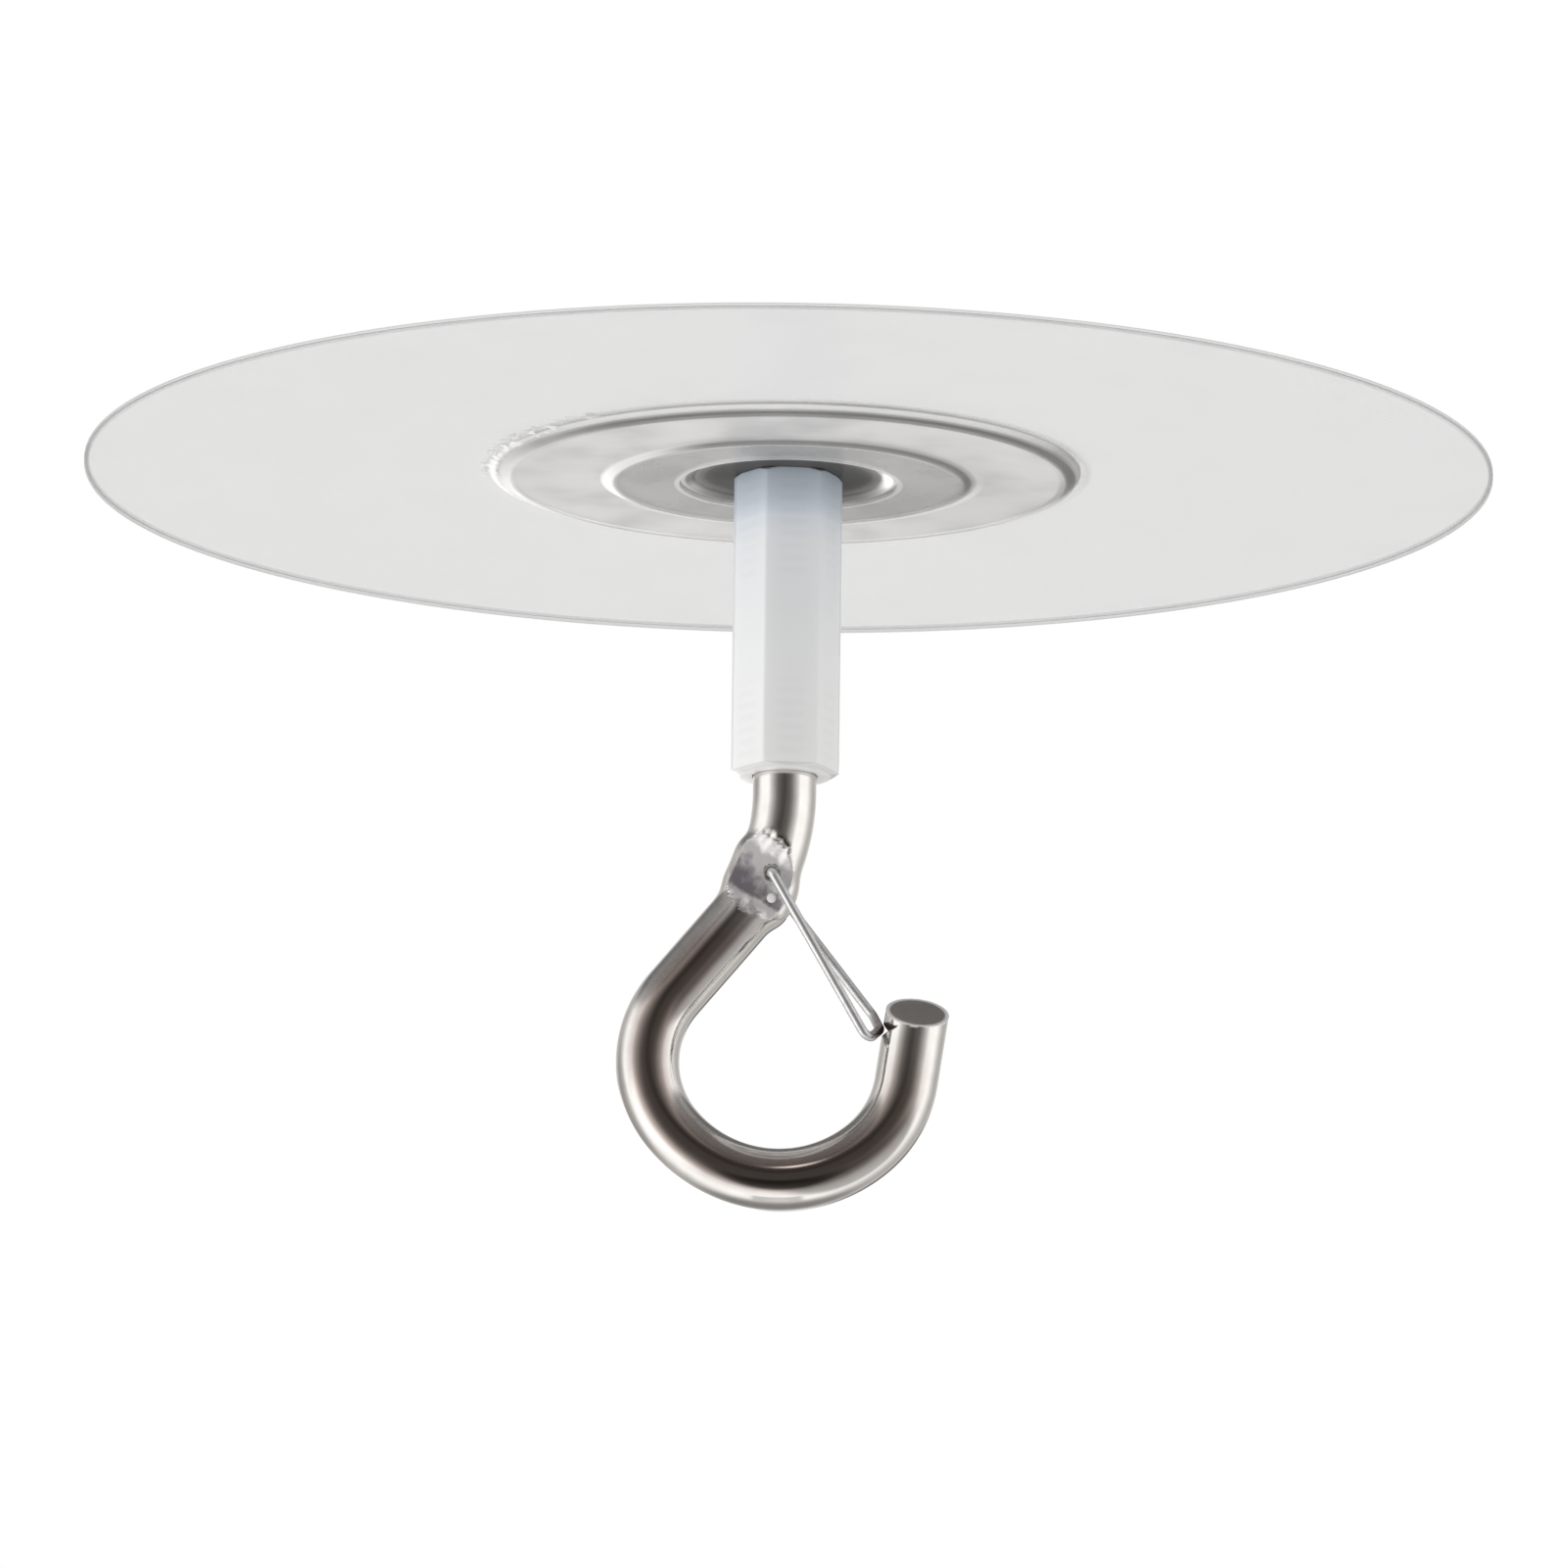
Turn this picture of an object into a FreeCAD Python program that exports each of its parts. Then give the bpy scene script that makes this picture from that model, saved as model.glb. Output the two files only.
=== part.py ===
import FreeCAD, Part
import math
import os

# Self-adhesive ceiling hook with a wire safety gate. Millimetres, +Z up.
# The origin is the centre of the adhesive face that sticks to the ceiling, and everything hangs below it.
# The hook is bent in the XZ plane, with its mouth towards +X, and is seen square on from -Y.

V = FreeCAD.Vector

# Clear disc: an adhesive layer against the ceiling, and a face film formed over the steel plate
disc_diameter = 80.0
adhesive_thickness = 0.15
film_thickness = 0.2
film_hole_diameter = 12.4
film_edge_gap = 0.1
film_tent_run = 1.25

# Stamped steel plate, trapped between the adhesive and the film
plate_diameter = 33.2
plate_thickness = 0.5
plate_bevel_run = 0.9
plate_bevel_rise = 0.4
platform_diameter = 19.8
platform_rise = 0.25
platform_slope_run = 0.65
dish_diameter = 10.8
dish_slope_run = 0.6

# Rod that the hook is bent from. The stud has the same thread, drawn plain at its outside diameter
rod_diameter = 3.6
thread_clearance = 0.05
thread_lead_chamfer = 0.4

# Stud welded to the middle of the plate
stud_length = 6.5
weld_collar_width = 0.35
weld_collar_height = 0.3

# Hexagonal nylon coupler screwed on the stud, with the hook screwed into its lower end
coupler_length = 17.45
coupler_across_flats = 5.4
coupler_top_chamfer = 0.3
coupler_bottom_chamfer = 0.52
coupler_chamfer_angle = 30.0
coupler_turn_angle = 6.2
countersink_width = 0.5

# Hook, as bent: shank, neck bend, spine, heel, bowl, toe and nose
shank_in_coupler = 5.15
shank_below_coupler = 0.95
neck_radius = 12.0
spine_lean_angle = 39.7
spine_length = 5.3
heel_radius = 6.2
heel_turn_angle = 78.5
bowl_radius = 7.8
bowl_turn_angle = 91.7
toe_radius = 6.35
nose_lean_angle = 8.3
nose_length = 4.1
nose_cut_angle = 33.5

# Pressed flat on the neck bend, which carries the gate
press_turn_angle = 26.5
press_lean_angle = 38.0
press_flat_length = 2.8
press_upper_ramp_angle = 27.0
press_lower_ramp_angle = 45.0
press_thickness = 2.3
bulge_diameter = 4.4

# Wire gate, and where it turns in the pressed flat
wire_diameter = 0.55
pivot_rise = 0.7
pivot_side = 0.2
pivot_hole_clearance = 0.04
pivot_countersink = 0.2
pin_depth = 0.9
pin_bend_radius = 0.32
leg_clearance = 0.16
gate_tip_width = 2.3
gate_tip_slant = 1.95
gate_tip_crown = 0.55
gate_tip_radius = 0.5
gate_seat_depth = 0.13
gate_seat_rise = 0.04

# Small round end that shows in the pressed flat below the pivot
round_end_drop = 1.45
round_end_height = 0.08

# Notch on the inside of the nose, where the gate closes
notch_drop = 1.35
notch_depth = 0.8
notch_flank_angle = 27.0

# Sizes that follow from those above
disc_radius = disc_diameter / 2
plate_radius = plate_diameter / 2
platform_radius = platform_diameter / 2
dish_radius = dish_diameter / 2
film_hole_radius = film_hole_diameter / 2
rod_radius = rod_diameter / 2
wire_radius = wire_diameter / 2
bore_radius = rod_radius + thread_clearance
plate_back_z = -adhesive_thickness
plate_face_z = plate_back_z - plate_thickness
coupler_top_z = plate_face_z
coupler_bottom_z = coupler_top_z - coupler_length
press_half = press_thickness / 2
leg_offset = press_half + leg_clearance + wire_radius


def in_plane(x, z):
    """A point of the XZ plane, in which profiles are drawn and the hook is bent."""
    return V(x, 0, z)


def leaning(degrees):
    """Unit vector in the XZ plane, leaning that far from straight down towards -X."""
    return in_plane(-math.sin(math.radians(degrees)), -math.cos(math.radians(degrees)))


def across(direction):
    """The direction square to one of the XZ plane: for a line drawn outwards, its room side."""
    return in_plane(direction.z, -direction.x)


def rounded_line(points, radii):
    """Straight runs through the points, joined at each inner point by a tangent arc of its radius."""
    edges = []
    start = points[0]
    for before, corner, after, radius in zip(points, points[1:], points[2:], radii):
        arriving = (corner - before).normalize()
        departing = (after - corner).normalize()
        half_turn = arriving.getAngle(departing) / 2
        reach = radius * math.tan(half_turn)
        to_centre = (departing - arriving).normalize()
        middle = corner + to_centre * (radius / math.cos(half_turn) - radius)
        arc_start = corner - arriving * reach
        arc_end = corner + departing * reach
        edges.append(Part.LineSegment(start, arc_start).toShape())
        edges.append(Part.Arc(arc_start, middle, arc_end).toShape())
        start = arc_end
    edges.append(Part.LineSegment(start, points[-1]).toShape())
    return Part.Wire(edges)


def rod_along(path, radius):
    """Round rod or wire of that radius along a path."""
    start = path.OrderedVertexes[0].Point
    direction = path.OrderedVertexes[1].Point - start
    section = Part.Wire([Part.Circle(start, direction, radius).toShape()])
    rod = Part.Wire(path.OrderedEdges).makePipeShell([section], True, True)
    return rod if rod.Volume > 0 else rod.reversed()


def spun(edges):
    """Solid of revolution about the Z axis, from the edges round its half section."""
    face = Part.Face(Part.Wire(Part.__sortEdges__(edges)))
    return face.revolve(V(0, 0, 0), V(0, 0, 1), 360)


def offset_line(points, distance):
    """The same line of straight runs, moved square to itself towards the room."""
    moved = [points[0] - V(0, 0, distance)]
    for before, corner, after in zip(points, points[1:], points[2:]):
        arriving = (corner - before).normalize()
        departing = (after - corner).normalize()
        half_turn = arriving.getAngle(departing) / 2
        outward = (across(arriving) + across(departing)).normalize()
        moved.append(corner + outward * (distance / math.cos(half_turn)))
    moved.append(points[-1] - V(0, 0, distance))
    return moved


def pressed_sheet(points, thickness):
    """Round sheet of even thickness, spun from the line of its ceiling side."""
    outline = points + offset_line(points, thickness)[::-1]
    return spun(Part.makePolygon(outline + outline[:1]).Edges)


def plate_line():
    """Ceiling side of the plate: dish, raised platform and flange."""
    raised_z = plate_back_z - platform_rise
    return [
        in_plane(0, plate_back_z),
        in_plane(dish_radius, plate_back_z),
        in_plane(dish_radius + dish_slope_run, raised_z),
        in_plane(platform_radius, raised_z),
        in_plane(platform_radius + platform_slope_run, plate_back_z),
        in_plane(plate_radius, plate_back_z),
    ]


def adhesive_layer():
    """Flat sticky sheet between the ceiling and everything else."""
    return Part.makeCylinder(disc_radius, adhesive_thickness, in_plane(0, -adhesive_thickness))


def base_plate():
    """Stamped plate of even thickness, with its edge bevelled on the room side."""
    back = plate_line()
    face = offset_line(back, plate_thickness)[:-1]
    bevel = [
        in_plane(plate_radius - plate_bevel_run, plate_face_z),
        in_plane(plate_radius, plate_face_z + plate_bevel_rise),
    ]
    outline = back + (face + bevel)[::-1]
    return spun(Part.makePolygon(outline + outline[:1]).Edges)


def cover_film():
    """Film that lies on the platform and the flange, tents over the bevelled edge and meets the adhesive."""
    slope_top, slope_foot = offset_line(plate_line(), plate_thickness)[3:5]
    tent_top = in_plane(plate_radius - plate_bevel_run + film_edge_gap, plate_face_z)
    tent_foot = in_plane(tent_top.x + film_tent_run, plate_back_z)
    hole_edge = in_plane(film_hole_radius, slope_top.z)
    disc_edge = in_plane(disc_radius, plate_back_z)
    return pressed_sheet([hole_edge, slope_top, slope_foot, tent_top, tent_foot, disc_edge], film_thickness)


def stud():
    """Threaded stud, standing on the plate in a low collar of weld."""
    tip_z = plate_face_z - stud_length
    collar_radius = rod_radius + weld_collar_width
    outline = [
        in_plane(0, plate_face_z),
        in_plane(collar_radius, plate_face_z),
        in_plane(rod_radius, plate_face_z - weld_collar_height),
        in_plane(rod_radius, tip_z + thread_lead_chamfer),
        in_plane(rod_radius - thread_lead_chamfer, tip_z),
        in_plane(0, tip_z),
    ]
    return spun(Part.makePolygon(outline + outline[:1]).Edges)


def coupler():
    """Hexagonal coupler with a bore right through, countersunk at the stud's end."""
    corner_radius = coupler_across_flats / 2 / math.cos(math.radians(30))
    corners = []
    for step in range(6):
        angle = math.radians(coupler_turn_angle + 60 * step)
        corners.append(V(math.cos(angle), math.sin(angle), 0) * corner_radius)
    outline = Part.Face(Part.makePolygon(corners + corners[:1]))
    outline.translate(in_plane(0, coupler_bottom_z))
    bar = outline.extrude(in_plane(0, coupler_length))

    # Both ends are turned to a cone, which takes the six corners off, more of them at the bottom
    slope = math.tan(math.radians(coupler_chamfer_angle))
    envelope = [
        in_plane(0, coupler_bottom_z),
        in_plane(corner_radius - coupler_bottom_chamfer, coupler_bottom_z),
        in_plane(corner_radius, coupler_bottom_z + coupler_bottom_chamfer * slope),
        in_plane(corner_radius, coupler_top_z - coupler_top_chamfer * slope),
        in_plane(corner_radius - coupler_top_chamfer, coupler_top_z),
        in_plane(0, coupler_top_z),
    ]
    bar = bar.common(spun(Part.makePolygon(envelope + envelope[:1]).Edges))

    mouth_radius = bore_radius + countersink_width
    bore = [
        in_plane(0, coupler_bottom_z),
        in_plane(bore_radius, coupler_bottom_z),
        in_plane(bore_radius, coupler_top_z - countersink_width),
        in_plane(mouth_radius, coupler_top_z),
        in_plane(0, coupler_top_z),
    ]
    return bar.cut(spun(Part.makePolygon(bore + bore[:1]).Edges))


def bent_path(start, runs):
    """Path that starts straight down and follows straight runs and bends, given as (length or radius, turn).

    A turn of nothing is a straight run. A turn above nothing bends towards -X, one below it towards +X.
    """
    edges = []
    point = start
    lean = 0.0
    for size, turn in runs:
        if turn == 0:
            end = point + leaning(lean) * size
            edges.append(Part.LineSegment(point, end).toShape())
        else:
            side = across(leaning(lean)) * math.copysign(size, turn)
            centre = point + side
            radial = math.copysign(size, turn)
            middle = centre - across(leaning(lean + turn / 2)) * radial
            end = centre - across(leaning(lean + turn)) * radial
            edges.append(Part.Arc(point, middle, end).toShape())
            lean += turn
        point = end
    return Part.Wire(edges), point, leaning(lean)


def hook_rod():
    """The rod as bent, before it is pressed and cut, with the point and direction of its nose."""
    shank_top = in_plane(0, coupler_bottom_z + shank_in_coupler)
    toe_turn = spine_lean_angle + 180 - nose_lean_angle - heel_turn_angle - bowl_turn_angle
    runs = [
        (shank_in_coupler + shank_below_coupler, 0),
        (neck_radius, spine_lean_angle),
        (spine_length, 0),
        (heel_radius, -heel_turn_angle),
        (bowl_radius, -bowl_turn_angle),
        (toe_radius, -toe_turn),
        (nose_length, 0),
    ]
    path, nose_point, nose_way = bent_path(shank_top, runs)
    spare = in_plane(0, 0) + nose_way * rod_diameter
    longer = Part.Wire(path.OrderedEdges + [Part.LineSegment(nose_point, nose_point + spare).toShape()])
    rod = rod_along(longer, rod_radius)

    # A cone takes the sharp edge off the end of the thread
    cone = Part.makeCone(rod_radius - thread_lead_chamfer, rod_diameter, rod_radius + thread_lead_chamfer,
                         shank_top, in_plane(0, -1))
    top = Part.makeCylinder(rod_diameter, cone.BoundBox.ZLength, shank_top, in_plane(0, -1))
    return rod.cut(top.cut(cone)), nose_point, nose_way


def press_centre():
    """Middle of the pressed flat, on the neck bend."""
    bend_start = in_plane(0, coupler_bottom_z - shank_below_coupler)
    bend_centre = bend_start + in_plane(-neck_radius, 0)
    return bend_centre - across(leaning(press_turn_angle)) * neck_radius


def press_tool(side):
    """Block that presses one face of the rod: flat in the middle, with a longer ramp at the top."""
    along = leaning(press_lean_angle)
    depth = V(0, side, 0)
    height = rod_radius
    face_middle = press_centre() + depth * press_half
    flat = along * (press_flat_length / 2)
    upper_ramp = depth * height - along * (height / math.tan(math.radians(press_upper_ramp_angle)))
    lower_ramp = depth * height + along * (height / math.tan(math.radians(press_lower_ramp_angle)))
    corners = [
        face_middle - flat,
        face_middle + flat,
        face_middle + flat + lower_ramp,
        face_middle - flat + upper_ramp,
    ]
    sideways = across(along) * (rod_diameter * 2)
    section = Part.Face(Part.makePolygon(corners + corners[:1]))
    section.translate(sideways * -0.5)
    return section.extrude(sideways)


def bulge():
    """Metal squeezed out to both sides by the press: a ball cut off level with the pressed flat."""
    centre = press_centre()
    slab = Part.makeBox(bulge_diameter, press_thickness, bulge_diameter)
    slab.translate(centre - V(bulge_diameter, press_thickness, bulge_diameter) * 0.5)
    return Part.makeSphere(bulge_diameter / 2, centre).common(slab)


def pivot_point():
    """Where the gate turns, above the middle of the pressed flat and a little towards the mouth."""
    along = leaning(press_lean_angle)
    return press_centre() - along * pivot_rise - across(along) * pivot_side


def pivot_hole():
    """Cross hole for both ends of the gate, countersunk front and back."""
    radius = wire_radius + pivot_hole_clearance
    pivot = pivot_point() - V(0, press_half, 0)
    hole = Part.makeCylinder(radius, press_thickness, pivot, V(0, 1, 0))
    mouth = radius + pivot_countersink
    front = Part.makeCone(mouth, radius, pivot_countersink, pivot, V(0, 1, 0))
    back = Part.makeCone(mouth, radius, pivot_countersink, pivot + V(0, press_thickness, 0), V(0, -1, 0))
    return hole.fuse([front, back])


def round_ends():
    """Low domes on both faces of the pressed flat, below the pivot."""
    radius = (wire_radius**2 + round_end_height**2) / (2 * round_end_height)
    domes = []
    for side in (-1, 1):
        depth = radius - round_end_height
        centre = pivot_point() + V(0, side * (press_half - depth), -round_end_drop)
        ball = Part.makeSphere(radius, centre)
        core = Part.makeCylinder(wire_radius, press_half + round_end_height,
                                 V(centre.x, 0, centre.z), V(0, side, 0))
        domes.append(ball.common(core))
    return domes


def nose_cut(nose_point, nose_way):
    """Block beyond the slanting end of the nose, which faces up and towards -Y."""
    slant = math.radians(nose_cut_angle)
    facing = nose_way * math.cos(slant) + V(0, -1, 0) * math.sin(slant)
    size = rod_diameter * 3
    block = Part.makeBox(size, size, size, V(-size / 2, -size / 2, 0))
    block.Placement = FreeCAD.Placement(nose_point, FreeCAD.Rotation(V(0, 0, 1), facing))
    return block


def notch_mouth(nose_point, nose_way):
    """Middle of the notch, level with the inside of the nose, and the direction into the nose."""
    inward = across(nose_way)
    return nose_point - nose_way * notch_drop - inward * rod_radius, inward


def notch(nose_point, nose_way):
    """Wedge filed across the inside of the nose, as a solid to cut away."""
    mouth, inward = notch_mouth(nose_point, nose_way)
    length = notch_depth * 2
    spread = nose_way * (length * math.tan(math.radians(notch_flank_angle)))
    apex = mouth + inward * notch_depth
    wide_end = apex - inward * length
    corners = [apex, wide_end + spread, wide_end - spread]
    wedge = Part.Face(Part.makePolygon(corners + corners[:1]))
    wedge.translate(V(0, -rod_diameter, 0))
    return wedge.extrude(V(0, rod_diameter * 2, 0))


def hook(rod, nose_point, nose_way):
    """One bent rod: threaded shank, pressed flat with the pivot hole, bowl and notched nose."""
    body = rod.cut([nose_cut(nose_point, nose_way), press_tool(-1), press_tool(1)])
    body = body.fuse([bulge()])
    body = body.cut([pivot_hole(), notch(nose_point, nose_way)])
    return body.fuse(round_ends()).removeSplitter()


def gate(nose_point, nose_way):
    """One bent wire: two ends in the pivot hole, two legs, and a tip that rests in the notch."""
    near_side = V(0, -1, 0)
    far_side = V(0, 1, 0)
    pivot = pivot_point()
    pin_end = press_half - pin_depth

    # The tip is crowned towards the nose, and slants so that its far end is the higher one
    mouth, inward = notch_mouth(nose_point, nose_way)
    crown = mouth + nose_way * gate_seat_rise + inward * (gate_seat_depth - wire_radius)
    tip_middle = crown - inward * gate_tip_crown
    half_tip = far_side * (gate_tip_width / 2) + nose_way * (gate_tip_slant / 2)
    points = [
        pivot + near_side * pin_end,
        pivot + near_side * leg_offset,
        tip_middle - half_tip,
        crown,
        tip_middle + half_tip,
        pivot + far_side * leg_offset,
        pivot + far_side * pin_end,
    ]
    radii = [pin_bend_radius, gate_tip_radius, gate_tip_radius, gate_tip_radius, pin_bend_radius]
    return rod_along(rounded_line(points, radii), wire_radius)


bent_rod, nose_end, nose_direction = hook_rod()
nodes = {
    "adhesive_layer": adhesive_layer(),
    "base_plate": base_plate(),
    "cover_film": cover_film(),
    "stud": stud(),
    "coupler": coupler(),
    "hook": hook(bent_rod, nose_end, nose_direction),
    "gate": gate(nose_end, nose_direction),
}

os.makedirs("parts", exist_ok=True)
for name, shape in nodes.items():
    solids = shape.Solids
    if len(solids) != 1 or not shape.isValid():
        raise ValueError(f"{name} has {len(solids)} solids, valid: {shape.isValid()}")
    solids[0].exportStep(f"parts/{name}.step")
    print(name, "volume", round(solids[0].Volume, 3), "faces", len(solids[0].Faces))

pivot = pivot_point()
print("gate turns about x", round(pivot.x, 3), "z", round(pivot.z, 3))
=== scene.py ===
# %% [markdown]
# # A ceiling hook with a wire gate
#
# The part is a clear, self-adhesive disc that traps a stamped steel plate, a hexagonal nylon coupler
# screwed on the plate's stud, and a hook bent from polished rod, closed by a small sprung wire gate.
# It hangs from a ceiling, so everything lies below the origin. This lesson dresses the plain solids
# with finished pieces, in the order in which the maker would put them together.

# %% Load the frame
import math

import bmesh
import bpy
import numpy as np
from mathutils import Matrix, Vector


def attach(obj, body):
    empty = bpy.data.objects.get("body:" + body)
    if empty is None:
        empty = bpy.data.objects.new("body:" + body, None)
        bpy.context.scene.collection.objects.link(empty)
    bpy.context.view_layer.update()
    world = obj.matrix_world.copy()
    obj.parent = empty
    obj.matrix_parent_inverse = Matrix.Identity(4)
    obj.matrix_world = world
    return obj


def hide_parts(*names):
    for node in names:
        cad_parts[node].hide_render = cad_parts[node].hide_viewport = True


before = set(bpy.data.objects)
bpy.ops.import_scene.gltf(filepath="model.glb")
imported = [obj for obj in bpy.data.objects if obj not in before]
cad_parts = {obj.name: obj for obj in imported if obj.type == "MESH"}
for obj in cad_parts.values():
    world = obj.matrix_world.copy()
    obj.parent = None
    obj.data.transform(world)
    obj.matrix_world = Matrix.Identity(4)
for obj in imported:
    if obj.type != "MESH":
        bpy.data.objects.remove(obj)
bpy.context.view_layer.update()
MM = 0.001

# %% [markdown]
# ## Camera
#
# The photograph is a product shot on white, taken from a little below, and nothing in it shows
# perspective. A camera without perspective would do, but a photograph has a lens, so this is a very
# long one that stands far away. Its distance follows from the width of the photograph in
# millimetres, and its drop from how flat the disc's ellipse is. In the photograph the disc leans a
# little while the hook hangs straight. No camera does both, so the camera takes half of the lean.

# %% Camera
scene = bpy.context.scene
scene.view_settings.view_transform = "Standard"
PHOTO_PIXELS, PIXELS_PER_MM = 1601, 18.0
LENS_MM, SENSOR_MM = 1600.0, 36.0
CAMERA_DROP = math.radians(13.05)
CAMERA_ROLL = math.radians(0.7)
AIM = Vector((-0.04 * MM, 0, -18.51 * MM))

camera_data = bpy.data.cameras.new("camera")
camera_data.sensor_width = SENSOR_MM
camera_data.lens = LENS_MM
camera_data.clip_start = 0.01
camera_data.clip_end = 20.0
camera = bpy.data.objects.new("camera", camera_data)
scene.collection.objects.link(camera)
scene.camera = camera
distance = PHOTO_PIXELS / PIXELS_PER_MM * MM * LENS_MM / SENSOR_MM
towards_camera = Vector((0, -math.cos(CAMERA_DROP), -math.sin(CAMERA_DROP)))
camera.location = AIM + towards_camera * distance
level = (-towards_camera).to_track_quat("-Z", "Y")
camera.rotation_mode = "QUATERNION"
camera.rotation_quaternion = level @ Matrix.Rotation(CAMERA_ROLL, 3, "Z").to_quaternion()
print("camera distance, m:", round(distance, 3))

# %% [markdown]
# ## Studio
#
# Polished steel looks like whatever stands round it. A studio could be built from real cards and
# walls, but a world that is drawn from the direction of each ray is quicker, and nothing in it can
# stand in the way of a view. Worlds and materials are both node trees, so the helpers that link
# their sockets and do maths on them serve all the way down. The first node gives the direction of
# a ray, and the cosine of the angle between two directions tells how close they are.


# %% Direction of a ray
def joined(tree, *pairs):
    """Links pairs of sockets, given as output, input, output, input and so on."""
    for out_socket, in_socket in zip(pairs[::2], pairs[1::2]):
        tree.links.new(out_socket, in_socket)


def feed(tree, sockets, values):
    """Gives each input a link where the value is a socket, or else the plain value."""
    for socket, value in zip(sockets, values):
        if isinstance(value, bpy.types.NodeSocket):
            tree.links.new(value, socket)
        else:
            socket.default_value = value


def vector_node(tree, operation, *values):
    """Vector maths on sockets or plain vectors."""
    node = tree.nodes.new("ShaderNodeVectorMath")
    node.operation = operation
    feed(tree, node.inputs, values)
    return node.outputs["Value" if operation in {"DOT_PRODUCT", "LENGTH"} else "Vector"]


world = bpy.data.worlds.new("studio")
scene.world = world
world.use_nodes = True
sky = world.node_tree
sky.nodes.clear()
looking = sky.nodes.new("ShaderNodeTexCoord").outputs["Generated"]


def closeness(towards):
    """Cosine of the angle between where a ray goes and one direction."""
    return vector_node(sky, "DOT_PRODUCT", looking, Vector(towards).normalized())


print("straight at the camera:", Vector((0, -1, 0.03)).normalized())

# %% [markdown]
# The room itself is one ramp, from the far wall behind the part (0) round to the camera (1). It is
# bright at the sides and dark round the camera. A round rod shows all of that ramp across its width,
# which draws the dark line down the middle of the rod that the photograph shows.


# %% Room
def rises(tree, value, low, high, kind="SMOOTHSTEP"):
    """Rises from 0 to 1 while a value goes from low to high."""
    node = tree.nodes.new("ShaderNodeMapRange")
    node.interpolation_type = kind
    feed(tree, [node.inputs["Value"], node.inputs["From Min"], node.inputs["From Max"]], [value, low, high])
    return node.outputs["Result"]


def toned(tree, value, stops):
    """Colour that a ramp gives to a value, with stops as position and grey level or colour."""
    node = tree.nodes.new("ShaderNodeValToRGB")
    points = node.color_ramp.elements
    while len(points) < len(stops):
        points.new(0.5)
    for point, (position, tone) in zip(points, stops):
        point.position = position
        shade = tone if isinstance(tone, tuple) else (tone, tone, tone)
        point.color = (*shade, 1.0)
    joined(tree, value, node.inputs["Fac"])
    return node.outputs["Color"]


ROOM_STRENGTH = 1.35
room = toned(sky, rises(sky, closeness((0, -1, 0.03)), -1.0, 1.0, "LINEAR"), [
    (0.0, (0.68, 0.67, 0.66)),
    (0.08, (0.48, 0.47, 0.46)),
    (0.18, (0.40, 0.39, 0.38)),
    (0.26, (0.46, 0.45, 0.44)),
    (0.35, (0.62, 0.61, 0.60)),
    (0.46, (0.90, 0.89, 0.88)),
    (0.52, (0.98, 0.97, 0.96)),
    (0.74, (1.0, 1.0, 0.99)),
    (0.80, (0.70, 0.69, 0.68)),
    (0.85, (0.48, 0.47, 0.46)),
    (0.90, (0.31, 0.30, 0.29)),
    (0.935, (0.18, 0.17, 0.165)),
    (0.97, (0.10, 0.095, 0.09)),
    (1.0, (0.08, 0.075, 0.07)),
])
print("room strength:", ROOM_STRENGTH)

# %% [markdown]
# The rest of the studio is a few round cards. Dark ones take light away, overhead and beside the
# camera, so that the plate's steps and the rod's rims stand out. Bright ones add the highlights, the
# smallest of them a window that flashes at the bottom of the bowl. Each card is a row: where it is,
# its radius and its soft edge in degrees, and how much light it takes away or adds.


# %% Cards
def math_node(tree, operation, *values):
    """Maths on sockets or plain numbers. More than two are taken one after another."""
    node = tree.nodes.new("ShaderNodeMath")
    node.operation = operation
    feed(tree, node.inputs, values[:2])
    if len(values) > 2:
        return math_node(tree, operation, node.outputs[0], *values[2:])
    return node.outputs[0]


def card(towards, degrees, edge):
    """Round card in the studio: 1 inside that many degrees, fading to 0 over an edge."""
    outer = math.cos(math.radians(degrees + edge))
    return rises(sky, closeness(towards), outer, math.cos(math.radians(degrees)))


dark_cards = [
    ((0, 0, 1), 51, 8, 0.60),
    ((0, 0.1, 1), 35, 20, 0.55),
    ((0.60, -0.50, -0.62), 25, 14, 0.58),
    ((-0.85, 0.50, -0.10), 14, 16, 0.28),
    ((0, 0.60, -0.80), 12, 24, 0.50),
    ((0, -0.86, -0.51), 10, 13, 0.82),
    ((0, -0.91, 0.41), 6, 10, 0.5),
    ((0.30, 0.95, -0.12), 9, 6, 0.75),
]
bright_cards = [
    ((-0.30, 0.95, -0.12), 9, 9, 2.2),
    ((-0.78, -0.52, -0.30), 14, 16, 0.5),
    ((-0.05, -0.82, 0.56), 2.0, 2.5, 9.0),
]
strength = ROOM_STRENGTH
for towards, radius, edge, share in dark_cards:
    taken = math_node(sky, "MULTIPLY", card(towards, radius, edge), share)
    strength = math_node(sky, "MULTIPLY", strength, math_node(sky, "SUBTRACT", 1.0, taken))
for towards, radius, edge, glow in bright_cards:
    added = math_node(sky, "MULTIPLY", card(towards, radius, edge), glow)
    strength = math_node(sky, "ADD", strength, added)
print("cards:", len(dark_cards), "dark,", len(bright_cards), "bright")

# %% [markdown]
# Behind the part, the photograph is plain white. A white sheet would show up in the steel and wash it
# out, so the two are kept apart here: the camera's own rays see white, and all others see the studio.

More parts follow.
